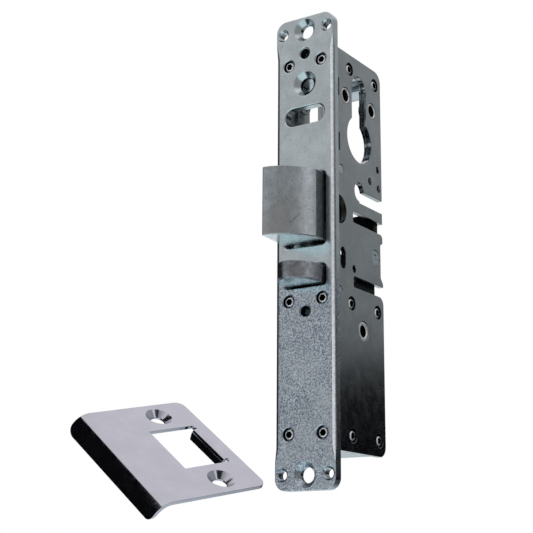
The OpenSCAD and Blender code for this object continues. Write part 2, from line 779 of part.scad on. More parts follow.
// Holes that the faceplate and side screws need in a spacer
module screw_holes(z, ys) {
    for (s = [-1, 1])
        bar_y(s * face_screw_span / 2, z, screw_hole_r, -over, screw_reach + over);
    for (y = ys)
        for (s = [0, 1])
            mirror([s, 0, 0])
                bar_x(y, z, screw_hole_r, inner_x - screw_reach, inner_x + over);
}
module spacer_top() {
    color(zinc_dull)
    difference() {
        translate([-inner_x, 0, top_spacer_z])
            cube([2 * inner_x, guide_rear_y, case_top_z - top_spacer_z]);
        along_x(-inner_x - over, 2 * (inner_x + over))
            slot_2d([cyl_y, cyl_z], [cyl_y, cyl_top_z - cyl_web_w / 2], cyl_web_w / 2 + arch_gap);
        screw_holes(screw_top_z, [side_screw_front_y, side_screw_rear_y]);
        bar_y(0, tapped_upper_z, tapped_hole_d / 2, -over, screw_reach);
    }
}
module spacer_middle() {
    color(zinc_dull)
    difference() {
        translate([-inner_x, 0, mid_spacer_bottom_z])
            cube([2 * inner_x, mid_spacer_depth, mid_spacer_top_z - mid_spacer_bottom_z]);
        screw_holes(screw_mid_z, [side_screw_front_y]);
        bar_y(0, tapped_lower_z, tapped_hole_d / 2, -over, screw_reach);
    }
}
module spacer_rear() {
    color(zinc_dull)
    difference() {
        bar_x(side_screw_rear_y, screw_mid_z, post_d / 2, -inner_x, inner_x);
        for (s = [0, 1])
            mirror([s, 0, 0])
                bar_x(side_screw_rear_y, screw_mid_z, screw_hole_r, inner_x - screw_reach, inner_x + over);
    }
}
module spacer_bottom() {
    color(zinc_dull)
    difference() {
        translate([-inner_x, 0, screw_bottom_z - spacer_margin])
            cube([2 * inner_x, case_depth - bottom_spacer_set_back, 2 * spacer_margin]);
        screw_holes(screw_bottom_z, side_screw_ys);
    }
}

module faceplate_screws() {
    color(bright_steel)
    for (z = screw_levels)
        for (s = [-1, 1])
            translate([s * face_screw_span / 2, -face_seat_t, z])
                rotate([90, 0, 0])
                    screw(face_head_h, screw_reach + face_seat_t - over);
}
module side_screws(side) {
    for (z = screw_levels)
        for (y = side_screw_ys)
            translate([side * (inner_x + side_seat_t), y, z])
                rotate([0, side * 90, 0])
                    screw(side_head_h, screw_reach + side_seat_t - over);
}
module side_screws_right() {
    color(bright_steel)
        side_screws(1);
}
module side_screws_left() {
    color(bright_steel)
        side_screws(-1);
}

module furniture_bush_pair() {
    for (y = bush_ys)
        difference() {
            union() {
                bar_x(y, bush_z, bush_d / 2, bush_x, outer_x - pin_recess);
                bar_x(y, bush_z, bush_flange_d / 2, bush_x, guide_x);
            }
            bar_x(y, bush_z, bush_bore_d / 2, bush_x - over, outer_x + over);
        }
}
module furniture_bushes_right() {
    color(brass)
        furniture_bush_pair();
}
module furniture_bushes_left() {
    color(brass)
    mirror([1, 0, 0])
        furniture_bush_pair();
}

module latch_guide_studs() {
    color(bright_steel)
    for (s = [0, 1])
        mirror([s, 0, 0]) {
            bar_x(stud_y, stud_z, stud_d / 2, inner_x - stud_reach, inner_x);
            bar_x(stud_y, stud_z, stud_end_d / 2, inner_x, outer_x - pin_recess);
        }
}

module lever_pivot_bush() {
    color(bright_steel)
    difference() {
        bar_x(pivot_y, pivot_z, pivot_bush_d / 2, pin_recess - outer_x, outer_x - pin_recess);
        bar_x(pivot_y, pivot_z, pivot_bore_d / 2, -outer_x - over, outer_x + over);
    }
}
module lever_spacers() {
    color(zinc_dull)
    for (s = [0, 1])
        mirror([s, 0, 0])
            difference() {
                bar_x(pivot_y, pivot_z, lever_spacer_d / 2, lever_t / 2 + lever_side_gap,
                    inner_x - lever_side_gap);
                bar_x(pivot_y, pivot_z, pivot_bush_d / 2 + pin_gap, 0, outer_x);
            }
}
module aux_guide_pin() {
    color(bright_steel)
        bar_x(aux_pin_y, aux_pin_z, aux_pin_d / 2, pin_recess - outer_x, outer_x - pin_recess);
}

module latch_spring_seat() {
    color(black_steel)
    difference() {
        union() {
            translate([-inner_x, seat_y, seat_z])
                cube([2 * inner_x, seat_t, seat_h]);
            bar_x(seat_y + seat_t / 2, spigot_z, spigot_d / 2, -inner_x - spigot_depth,
                inner_x + spigot_depth);
        }
        bar_y(-latch_spring_x, latch_spring_z, rod_d / 2 + pin_gap, seat_y - over, seat_y + rod_seat_depth);
    }
}
module latch_spring_rod() {
    color(bright_steel)
        bar_y(-latch_spring_x, latch_spring_z, rod_d / 2,
            latch_bore_y + latch_travel + guide_clearance, seat_y + rod_seat_depth - pin_gap);
}
module aux_spring_seat() {
    color(black_steel)
    difference() {
        union() {
            translate([-inner_x, aux_seat_y, aux_seat_z])
                cube([inner_x - aux_seat_inner_x, aux_seat_t, aux_seat_h]);
            bar_x(aux_seat_y + aux_seat_t / 2, aux_spigot_z, spigot_d / 2,
                -inner_x - spigot_depth, -inner_x + over);
        }
        bar_y(-aux_spring_x, aux_spring_z, rod_d / 2 + pin_gap, aux_seat_y - over,
            aux_seat_y + rod_seat_depth);
    }
}
module aux_spring_rod() {
    color(bright_steel)
        bar_y(-aux_spring_x, aux_spring_z, rod_d / 2,
            aux_bore_y + aux_travel + guide_clearance, aux_seat_y + rod_seat_depth - pin_gap);
}

// Coil springs: one unbroken six sided wire, whose ends run straight for one wire diameter
coil_rings = 8;
coil_sides = 6;
function coil_point(r, len, turns, wire, a) =
    [r * cos(a), wire / 2 + (len - wire) * a / (360 * turns), r * sin(a)];
function coil_step(r, len, turns, wire) =
    coil_point(r, len, turns, wire, 1) - coil_point(r, len, turns, wire, 0);
function unit(v) = v / norm(v);
function coil_path(r, len, turns, wire) = [
    for (i = [0 : coil_rings * turns]) coil_point(r, len, turns, wire, 360 * i / coil_rings)];
function coil_centres(r, len, turns, wire) =
    let (p = coil_path(r, len, turns, wire), n = len(p) - 1,
        lead = wire * unit([0, (len - wire) / (360 * turns), r * PI / 180]))
    concat([p[0] - lead], p, [p[n] + lead]);
function coil_radial(i, n) =
    let (k = min(max(i - 1, 0), n)) [cos(360 * k / coil_rings), 0, sin(360 * k / coil_rings)];
function coil_tangent(r, len, turns, wire, i, n) =
    let (k = min(max(i - 1, 0), n), a = 360 * k / coil_rings)
    unit([-r * sin(a) * PI / 180, (len - wire) / (360 * turns), r * cos(a) * PI / 180]);
function least_gap(p, wire) = min([
    for (i = [0 : len(p) - 1])
        for (j = [i + floor(coil_rings / 2) : len(p) - 1])
            if (j < len(p)) norm(p[i] - p[j])]) - wire;
module coil(r, len, turns, wire) {
    c = coil_centres(r, len, turns, wire);
    n = coil_rings * turns;
    count = len(c);
    ring = coil_sides;
    points = [
        for (i = [0 : count - 1])
            let (e = coil_radial(i, n), b = cross(coil_tangent(r, len, turns, wire, i, n), e))
            for (s = [0 : ring - 1])
                c[i] + wire / 2 * (cos(360 * s / ring) * e + sin(360 * s / ring) * b)];
    walls = [
        for (i = [0 : count - 2])
            for (s = [0 : ring - 1])
                let (t = (s + 1) % ring, lo = i * ring, hi = (i + 1) * ring)
                for (f = [[lo + s, hi + s, hi + t], [lo + s, hi + t, lo + t]]) f];
    first_cap = [for (s = [1 : ring - 2]) [0, s, s + 1]];
    last = (count - 1) * ring;
    last_cap = [for (s = [1 : ring - 2]) [last, last + s + 1, last + s]];
    polyhedron(points = points, faces = concat(walls, first_cap, last_cap));
}
echo("latch spring least gap to itself in mm", least_gap(
    coil_centres(latch_coil_d / 2, latch_spring_len, latch_turns, latch_wire_d), latch_wire_d));
echo("auxiliary spring least gap to itself in mm", least_gap(
    coil_centres(aux_coil_d / 2, aux_spring_len, aux_turns, aux_wire_d), aux_wire_d));

module latch_spring() {
    color(spring_steel)
    translate([-latch_spring_x, latch_bore_y + spring_end_gap, latch_spring_z])
        coil(latch_coil_d / 2, latch_spring_len, latch_turns, latch_wire_d);
}
module aux_spring() {
    color(spring_steel)
    translate([-aux_spring_x, aux_bore_y + spring_end_gap, aux_spring_z])
        coil(aux_coil_d / 2, aux_spring_len, aux_turns, aux_wire_d);
}

// Stub pivot riveted in the right side plate, with a groove for the clip
module deadlock_pivot() {
    color(bright_steel)
    difference() {
        bar_x(dead_y, dead_z, dead_pivot_d / 2, clip_x - clip_reach, outer_x - pin_recess);
        difference() {
            bar_x(dead_y, dead_z, dead_pivot_d, clip_x - pin_gap, clip_x + clip_t + pin_gap);
            bar_x(dead_y, dead_z, dead_pivot_d / 2 - clip_groove, 0, inner_x);
        }
        bar_x(dead_y, dead_z, clip_mouth_w / 2, outer_x - dimple_depth, outer_x + over);
    }
}
module deadlock_clip() {
    color(black_steel)
    difference() {
        bar_x(dead_y, dead_z, clip_d / 2, clip_x, clip_x + clip_t);
        bar_x(dead_y, dead_z, dead_pivot_d / 2 - clip_groove + pin_gap, 0, inner_x);
        translate([0, dead_y, dead_z - clip_mouth_w / 2])
            cube([inner_x, clip_d, clip_mouth_w]);
    }
}

// Plan view of the latch bolt
module latch_2d() {
    tip_y = face_y - latch_bevel_r - over;
    intersection() {
        polygon([[-latch_w / 2, latch_rear_y], [-latch_w / 2, 0],
            [latch_lean - latch_w / 2, tip_y], [latch_w / 2, tip_y], [latch_w / 2, latch_rear_y]]);
        union() {
            translate([-latch_w / 2 - latch_bevel_shift, face_y])
                circle(r = latch_bevel_r, $fn = fine_facets);
            translate([-latch_w, face_y])
                square([2 * latch_w, latch_rear_y - face_y]);
        }
    }
}
// Side view of the channel that the deadlock nose swings in while the latch bolt is in
module nose_channel_2d() {
    front_y = nose_y - latch_travel - nose_gap;
    slope_y = raised_nose[0] - latch_travel;
    top_z = raised_nose[1] + nose_gap;
    step_z = dead_z + dead_boss_r + nose_gap;
    low_z = latch_z - over;
    polygon([[front_y, low_z], [front_y, top_z], [slope_y, top_z],
        [pivot_step_y, top_z - (pivot_step_y - slope_y) * tan(dead_turn)], [pivot_step_y, step_z],
        [latch_rear_y + over, step_z], [latch_rear_y + over, low_z]]);
}
module latch_bolt() {
    color(zinc)
    difference() {
        translate([0, 0, latch_z])
            linear_extrude(latch_h)
                latch_2d();
        translate([-lever_slot_w / 2, lever_slot_y, latch_z - over])
            cube([lever_slot_w, latch_rear_y, latch_h + 2 * over]);
        bar_x(latch_pin_y, latch_pin_z, latch_pin_d / 2 + pin_gap, -latch_w, latch_w);
        bar_y(-latch_spring_x, latch_spring_z, (latch_coil_d + latch_wire_d) / 2 + spring_gap,
            latch_bore_y, latch_rear_y + over);
        for (s = [0, 1])
            mirror([s, 0, 0])
                bar_x(window_y, window_z, button_d / 2 + pin_gap, latch_w / 2 - button_recess,
                    latch_w / 2 + over);
        along_x(lever_slot_w / 2 - guide_clearance, latch_w)
            nose_channel_2d();
    }
}
module latch_pin() {
    color(bright_steel)
        bar_x(latch_pin_y, latch_pin_z, latch_pin_d / 2, pin_recess - latch_w / 2, latch_w / 2 - pin_recess);
}
module latch_buttons() {
    color(brass)
    for (s = [0, 1])
        mirror([s, 0, 0])
            bar_x(window_y, window_z, button_d / 2, latch_w / 2 - button_recess, latch_w / 2 + button_proud);
}

// Lever drawn upright from its pivot, then leaned forward to the latch pin
module retractor_lever_2d() {
    slot_r = latch_pin_d / 2 + slot_gap;
    difference() {
        union() {
            circle(r = lever_boss_r);
            translate([-lever_arm_w / 2, 0])
                square([lever_arm_w, lever_pin_len]);
            translate([0, lever_pin_len])
                circle(r = lever_eye_r);
            polygon([[-lever_arm_w / 2, lever_pin_len - lever_eye_r], [lever_arm_w / 2, lever_pin_len - lever_eye_r],
                [lever_tip_r, lever_len], [-lever_tip_r, lever_len]]);
            translate([0, lever_len])
                circle(r = lever_tip_r);
        }
        circle(r = pivot_bush_d / 2 + running_gap);
        slot_2d([0, lever_mid_len - running_gap], [0, max(lever_pin_len, lever_back_len) + running_gap], slot_r);
    }
}
module retractor_lever() {
    color(black_steel)
    translate([-lever_t / 2, pivot_y, pivot_z])
        rotate([lever_lean, 0, 0])
            along_x(0, lever_t)
                retractor_lever_2d();
}

// Plan view of the auxiliary bolt: two flank arcs meeting in a round nose
module aux_2d() {
    flank_y = face_y - aux_straight;
    shift = aux_flank_r - aux_w / 2;
    apex_y = face_y - aux_throw;
    reach = flank_y - apex_y;
    nose_r = (reach * reach + shift * shift - aux_flank_r * aux_flank_r) / (2 * (reach - aux_flank_r));
    centre_y = apex_y + nose_r;
    tangent_y = flank_y - (flank_y - centre_y) * aux_flank_r / (aux_flank_r - nose_r);
    translate([0, centre_y])
        circle(r = nose_r);
    intersection() {
        translate([-shift, flank_y])
            circle(r = aux_flank_r, $fn = fine_facets);
        translate([shift, flank_y])
            circle(r = aux_flank_r, $fn = fine_facets);
        translate([-aux_w, tangent_y])
            square([2 * aux_w, flank_y - tangent_y]);
    }
    translate([-aux_w / 2, flank_y])
        square([aux_w, aux_rear_y - flank_y]);
}
module aux_bolt() {
    color(zinc_dull)
    difference() {
        translate([0, 0, aux_z])
            linear_extrude(aux_h)
                aux_2d();
        bar_y(-aux_spring_x, aux_spring_z, (aux_coil_d + aux_wire_d) / 2 + spring_gap,
            aux_bore_y, aux_rear_y + over);
        translate([tail_x - tail_t / 2 - pin_gap, aux_rear_y - tail_root, aux_z - over])
            cube([tail_t + 2 * pin_gap, tail_root + over, aux_h + 2 * over]);
        translate([-lever_slot_w / 2, aux_notch_y, aux_z - over])
            cube([lever_slot_w, aux_rear_y, aux_h + 2 * over]);
    }
}
// Straight slot in the tail plate that follows the deadlock pin, set halfway into the pin's slight curve
module pin_path_2d(r) {
    start = pin_in_tail(0);
    finish = pin_in_tail(1);
    across = [start[1] - finish[1], finish[0] - start[0]] / norm(finish - start);
    shift = across * ((pin_in_tail(0.5) - start) * across) / 2;
    slot_2d(start + shift, finish + shift, r);
}
// Tail plate with the slanted slot that lifts the deadlock pin
module aux_tail() {
    root_y = aux_rear_y - tail_root + pin_gap;
    color(zinc_dull)
    along_x(tail_x - tail_t / 2, tail_t)
        difference() {
            intersection() {
                union() {
                    pin_path_2d(tail_bar_r);
                    translate([root_y - over, aux_z])
                        square([aux_rear_y + tail_bar_r - root_y + over, case_depth]);
                }
                polygon([[root_y, aux_z - over], [case_depth, aux_z - over], [case_depth, tail_top_z],
                    [slot_gap, tail_top_z], [slot_gap, aux_top_z], [root_y, aux_top_z]]);
            }
            pin_path_2d(pin_slot_r);
        }
}

// Side view of a deadlock plate at rest, cut back where the latch bolt lies once the nose is up
module deadlock_2d() {
    difference() {
        union() {
            translate([dead_y, dead_z])
                circle(r = dead_boss_r);
            translate([dead_pin_y, dead_pin_z])
                circle(r = dead_lobe_r);
            polygon([[nose_y, nose_z], [nose_y, dead_pin_z], [dead_pin_y - dead_lobe_r, dead_pin_z],
                [dead_pin_y, dead_pin_z - dead_lobe_r], [dead_pin_y + dead_lobe_r, dead_bottom_z],
                [dead_rear_y - dead_chamfer, dead_bottom_z], [dead_rear_y, dead_bottom_z + dead_chamfer],
                [dead_rear_y, dead_z - dead_chamfer], [dead_y, nose_z]]);
        }
        translate([dead_y, dead_z])
            rotate(dead_turn)
                translate([-dead_y, -dead_z])
                    translate([0, latch_z - guide_clearance])
                        square([raised_nose[0], latch_h]);
        translate([dead_y, dead_z])
            circle(r = dead_pivot_d / 2 + running_gap);
        translate([dead_pin_y, dead_pin_z])
            circle(r = dead_pin_d / 2 + pin_gap);
    }
}
module deadlock_plate_outer() {
    color(black_steel)
    along_x(tail_far_x, dead_t)
        deadlock_2d();
}
module deadlock_plate_inner() {
    color(black_steel)
    along_x(tail_near_x - dead_t, dead_t)
        deadlock_2d();
}
module deadlock_pin() {
    color(bright_steel)
        bar_x(dead_pin_y, dead_pin_z, dead_pin_d / 2, tail_near_x - dead_t, tail_far_x + dead_t);
}
module deadlock_spacer() {
    color(bright_steel)
    difference() {
        bar_x(dead_y, dead_z, dead_spacer_d / 2, tail_near_x, tail_far_x);
        bar_x(dead_y, dead_z, dead_pivot_d / 2 + running_gap, 0, inner_x);
    }
}

// Strike drawn flat on XY with its mouth at the origin and its front up
module strike_solid() {
    left_x = strike_edge - strike_w;
    hole_z = -strike_sink_depth - strike_land;
    difference() {
        union() {
            translate([0, 0, -strike_t])
                linear_extrude(strike_t)
                    difference() {
                        translate([left_x, -strike_h / 2])
                            square([strike_w, strike_h]);
                        for (s = [0, 1])
                            mirror([0, s])
                                translate([strike_edge, strike_h / 2])
                                    corner_cut(strike_corner_r);
                    }
            difference() {
                translate([left_x, strike_h / 2, -lip_r])
                    rotate([90, 0, 0])
                        cylinder(h = strike_h, r = lip_r, $fn = fine_facets);
                translate([left_x, strike_h / 2 + over, -lip_r])
                    rotate([90, 0, 0])
                        cylinder(h = strike_h + 2 * over, r = lip_r - strike_t, $fn = fine_facets);
                translate([left_x, -strike_h, -3 * lip_r])
                    cube([2 * lip_r, 2 * strike_h, 4 * lip_r]);
                translate([left_x - 2 * lip_r, -strike_h, -3 * lip_r])
                    cube([4 * lip_r, 2 * strike_h, 2 * lip_r]);
                for (s = [0, 1])
                    mirror([0, s, 0])
                        translate([0, strike_h / 2, -lip_r])
                            mirror([0, 0, 1])
                                along_x(left_x - 2 * lip_r, 2 * lip_r)
                                    corner_cut(strike_corner_r);
            }
            for (s = [-1, 1])
                translate([0, s * strike_hole_span / 2, hole_z])
                    cylinder(h = -strike_t - hole_z, r1 = strike_hole_d / 2 + dimple_wall,
                        r2 = strike_sink_d / 2);
        }
        for (s = [-1, 1])
            translate([0, s * strike_hole_span / 2, 0]) {
                translate([0, 0, hole_z - over])
                    cylinder(h = 2 * over - hole_z, r = strike_hole_d / 2);
                translate([0, 0, -strike_sink_depth])
                    cylinder(h = strike_sink_depth, r1 = strike_hole_d / 2, r2 = strike_sink_d / 2);
            }
        translate([-mouth_w / 2, -mouth_h / 2, -strike_t - over])
            cube([mouth_w, mouth_h, strike_t + 2 * over]);
        translate([0, -tab_w / 2 - tab_relief, -strike_t - over])
            cube([tab_centre_x, tab_w + 2 * tab_relief, strike_t + 2 * over]);
    }
    intersection() {
        translate([0, tab_w / 2, 0])
            rotate([90, 0, 0])
                linear_extrude(tab_w)
                    strike_tab_2d();
        translate([0, -strike_h, -strike_h])
            cube([tab_centre_x, 2 * strike_h, 2 * strike_h]);
    }
}
// Bent tab at the edge of the mouth, drawn across the plate
module strike_tab_2d() {
    difference() {
        translate([tab_centre_x, -tab_bend_r])
            circle(r = tab_bend_r);
        translate([tab_centre_x, -tab_bend_r])
            circle(r = tab_bend_r - strike_t);
        translate([0, -3 * tab_bend_r])
            square([2 * tab_centre_x, 2 * tab_bend_r]);
    }
    translate([tab_centre_x - tab_bend_r, -tab_bend_r - tab_drop])
        square([strike_t, tab_drop]);
}
module strike_plate() {
    color(stainless)
    translate([strike_x, strike_y, strike_z])
        rotate([strike_roll, strike_pitch, strike_turn])
            strike_solid();
}

faceplate();
side_plate_right();
side_plate_left();
cylinder_guide_right();
cylinder_guide_left();
spacer_top();
spacer_middle();
spacer_rear();
spacer_bottom();
faceplate_screws();
side_screws_right();
side_screws_left();
furniture_bushes_right();
furniture_bushes_left();
latch_guide_studs();
lever_pivot_bush();
lever_spacers();
aux_guide_pin();
latch_spring_seat();
latch_spring_rod();
latch_spring();
aux_spring_seat();
aux_spring_rod();
aux_spring();
deadlock_pivot();
deadlock_clip();
latch_bolt();
latch_pin();
latch_buttons();
retractor_lever();
aux_bolt();
aux_tail();
deadlock_plate_outer();
deadlock_plate_inner();
deadlock_pin();
deadlock_spacer();
strike_plate();
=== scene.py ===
"""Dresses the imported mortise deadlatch: every piece gets its finish, and the photograph's view is set up."""

import json
import math

import bmesh
import bpy
from bpy.props import FloatProperty, FloatVectorProperty, IntProperty, PointerProperty
from mathutils import Matrix, Quaternion, Vector

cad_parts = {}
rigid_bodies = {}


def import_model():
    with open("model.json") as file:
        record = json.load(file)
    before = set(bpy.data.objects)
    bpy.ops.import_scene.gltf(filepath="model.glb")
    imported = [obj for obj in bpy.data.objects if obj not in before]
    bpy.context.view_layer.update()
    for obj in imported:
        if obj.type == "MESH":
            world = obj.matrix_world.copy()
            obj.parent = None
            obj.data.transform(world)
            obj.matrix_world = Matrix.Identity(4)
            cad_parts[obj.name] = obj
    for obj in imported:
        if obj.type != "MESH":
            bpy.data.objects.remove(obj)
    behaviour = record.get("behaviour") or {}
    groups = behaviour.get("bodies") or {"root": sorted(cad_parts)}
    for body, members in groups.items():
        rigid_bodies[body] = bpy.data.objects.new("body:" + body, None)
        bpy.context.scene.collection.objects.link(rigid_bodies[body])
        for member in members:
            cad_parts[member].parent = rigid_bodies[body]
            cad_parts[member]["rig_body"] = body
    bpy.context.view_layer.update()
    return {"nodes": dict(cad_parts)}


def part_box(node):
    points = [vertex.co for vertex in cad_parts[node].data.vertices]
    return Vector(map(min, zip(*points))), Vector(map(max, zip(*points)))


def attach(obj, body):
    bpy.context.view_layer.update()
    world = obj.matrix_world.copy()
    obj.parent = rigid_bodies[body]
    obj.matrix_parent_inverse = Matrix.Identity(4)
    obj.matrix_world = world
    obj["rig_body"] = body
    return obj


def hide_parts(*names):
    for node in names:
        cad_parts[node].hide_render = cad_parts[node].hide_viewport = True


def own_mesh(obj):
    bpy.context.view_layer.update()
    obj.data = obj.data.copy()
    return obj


bl_info = {
    "name": "Mortise deadlatch",
    "version": (1, 0, 0),
    "blender": (4, 2, 0),
    "location": "3D View > Sidebar > Deadlatch",
    "description": "Builds the finished pieces of a mortise deadlatch round its packed frame",
    "category": "Object",
}

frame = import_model()
MM = 0.001

SHARP_ANGLE = math.radians(32)
HARD_ANGLE = math.radians(50)  # more than the steps of an edge that is already rounded
FLAT_ANGLE = math.radians(0.4)
MERGE_GAP = 2e-6


def length(label, words, metres):
    """A size in metres that a user may change."""
    return FloatProperty(name=label, description=words, default=metres, min=0.0, unit="LENGTH", precision=5)


def tint(label, words, colour):
    """A metal's own colour, linear."""
    return FloatVectorProperty(name=label, description=words, default=colour, size=3, min=0.0, max=1.0,
                               subtype="COLOR")


class DeadlatchSizes(bpy.types.PropertyGroup):
    """Edge roundings and wire sizes of the finished pieces."""

    face_edge: length("Faceplate edge", "Rounding of the faceplate's front edge", 1.45 * MM)
    rolled_edge: length("Rolled edge", "Rounding that punching leaves round the bolt openings", 1.0 * MM)
    hole_edge: length("Hole edge", "Rounding of the holes in the faceplate", 0.4 * MM)
    plate_edge: length("Side plate edge", "Rounding of the side plates' outlines", 0.2 * MM)
    bush_edge: length("Bush edge", "Rounding of the ends of the bushes", 0.35 * MM)
    part_edge: length("Small part edge", "Rounding of the small inner parts", 0.15 * MM)
    screw_edge: length("Screw edge", "Rounding of the screws' recesses", 0.09 * MM)
    screw_crown: length("Screw crown", "Rounding of the rims of the screw heads", 0.55 * MM)
    latch_edge: length("Latch edge", "Rounding of the cast latch bolt", 0.25 * MM)
    latch_nose: length("Latch nose", "Width of the facet at the tip of the latch bolt", 0.5 * MM)
    latch_low_edge: length("Latch lower edge", "Rounding under the front of the latch bolt", 0.55 * MM)
    aux_edge: length("Auxiliary bolt edge", "Chamfer of the auxiliary bolt", 0.6 * MM)
    strike_edge: length("Strike edge", "Rounding of the strike plate's edges", 0.12 * MM)
    latch_wire: length("Latch spring wire", "Wire diameter of the latch spring", 0.8 * MM)
    latch_coil: length("Latch spring coil", "Mean diameter of the latch spring", 3.6 * MM)
    aux_wire: length("Auxiliary spring wire", "Wire diameter of the auxiliary spring", 0.7 * MM)
    aux_coil: length("Auxiliary spring coil", "Mean diameter of the auxiliary spring", 3.4 * MM)
    latch_turns: IntProperty(name="Latch spring turns", description="Turns of the latch spring", default=12, min=4)
    aux_turns: IntProperty(name="Auxiliary spring turns", description="Turns of the auxiliary spring",
                           default=9, min=4)


class DeadlatchColours(bpy.types.PropertyGroup):
    """Colours of the metals."""

    zinc: tint("Bright zinc", "Zinc plating of the faceplate", (0.60, 0.65, 0.67))
    zinc_dark: tint("Dark zinc", "Mottled places in the zinc plating", (0.17, 0.195, 0.28))
    dull_zinc: tint("Dull zinc", "Zinc plating of the side plates", (0.40, 0.42, 0.43))
    casting: tint("Casting", "Satin cast zinc of the latch bolt", (0.50, 0.54, 0.565))
    # painted reflected light: brighter casting for the bolts' ground flat undersides
    ground_underside_painted_light: tint("Bright casting", "Ground flat sides of the bolts", (0.82, 0.88, 0.90))
    stain: tint("Stain", "Brownish film on the latch bolt", (0.36, 0.345, 0.325))
    sintered: tint("Sintered steel", "Grainy dark steel of the auxiliary bolt", (0.36, 0.375, 0.40))
    # this colour also paints a highlight on the ends of the brass bushes
    steel: tint("Bright steel", "Screws, studs and pins", (0.78, 0.77, 0.79))
    # this colour also paints shade on hole walls, screw seats and the sides of studs
    blacked_and_painted_shade: tint("Blacked steel", "Blackened inner parts", (0.030, 0.031, 0.034))
    brass: tint("Brass", "Bushes and latch buttons", (0.21, 0.19, 0.11))
    spring: tint("Spring steel", "Oiled spring wire", (0.30, 0.30, 0.30))
    stainless: tint("Polished stainless", "Strike plate", (0.50, 0.50, 0.555))
    floor: tint("Floor", "Plain pale floor", (0.72, 0.80, 0.82))


def sizes():
    return bpy.context.scene.deadlatch_sizes


def colours():
    return bpy.context.scene.deadlatch_colours


def shade(colour, share):
    """A colour with that share of its light."""
    return tuple(share * v for v in colour)


# ---------------------------------------------------------------- node helpers

def node(tree, kind, values=None, links=None, **settings):
    """Adds one node: values sets its sockets, links joins other nodes' sockets to them."""
    made = tree.nodes.new(kind)
    for key, value in settings.items():
        setattr(made, key, value)
    for key, value in (values or {}).items():
        made.inputs[key].default_value = value
    for key, source in (links or {}).items():
        tree.links.new(source, made.inputs[key])
    return made


def band(tree, source, low, high, out_low=0.0, out_high=1.0, smooth=True):
    """Maps source from low..high to out_low..out_high."""
    made = node(tree, "ShaderNodeMapRange", {"From Min": low, "From Max": high, "To Min": out_low, "To Max": out_high},
                {"Value": source})
    made.interpolation_type = "SMOOTHSTEP" if smooth else "LINEAR"
    return made.outputs[0]


def maths(tree, kind, first, second):
    """Math on two values, each a socket or a number."""
    made = tree.nodes.new("ShaderNodeMath")
    made.operation = kind
    for place, value in enumerate((first, second)):
        if isinstance(value, (int, float)):
            made.inputs[place].default_value = value
        else:
            tree.links.new(value, made.inputs[place])
    return made.outputs[0]


def times(tree, first, second):
    """One value times another."""
    return maths(tree, "MULTIPLY", first, second)


def mixed(tree, factor, first, second):
    """Mixes two colours, each a socket or a linear colour."""
    made = tree.nodes.new("ShaderNodeMix")
    made.data_type = "RGBA"
    for place, value in ((0, factor), (6, first), (7, second)):
        if isinstance(value, bpy.types.NodeSocket):
            tree.links.new(value, made.inputs[place])
        elif place == 0:
            made.inputs[place].default_value = value
        else:
            made.inputs[place].default_value = (*value, 1.0)
    return made.outputs[2]


def grain(tree, place, size, detail=3.0, rough=0.55, stretch=(1.0, 1.0, 1.0), offset=(0.0, 0.0, 0.0), skew=0.0):
    """Noise whose lumps are about size metres across. stretch lengthens them along an axis."""
    shifted = node(tree, "ShaderNodeMapping", {"Location": offset, "Scale": tuple(1.0 / s for s in stretch)},
                   {"Vector": place})
    made = node(tree, "ShaderNodeTexNoise", {"Scale": 1.0 / size, "Detail": detail, "Roughness": rough,
                                             "Distortion": skew}, {"Vector": shifted.outputs[0]})
    return made.outputs[0]


def axis(tree, place, number):
    """One coordinate of a place."""
    return node(tree, "ShaderNodeSeparateXYZ", None, {0: place}).outputs[number]


def vector_maths(tree, kind, source, vector):
    """A vector's sum or product with a fixed vector."""
    return node(tree, "ShaderNodeVectorMath", {1: vector}, {0: source}, operation=kind)


def along(tree, source, direction):
    """How far a vector goes in a direction."""
    return vector_maths(tree, "DOT_PRODUCT", source, direction).outputs["Value"]


def stripe(tree, place, point, across, half, soft):
    """1 within half of the plane through point that faces across, fading over soft. Sizes in metres."""
    moved = vector_maths(tree, "ADD", place, tuple(-p for p in point)).outputs[0]
    away = along(tree, moved, tuple(Vector(across).normalized()))
    return band(tree, maths(tree, "ABSOLUTE", away, 0.0), half, half + soft, 1.0, 0.0)


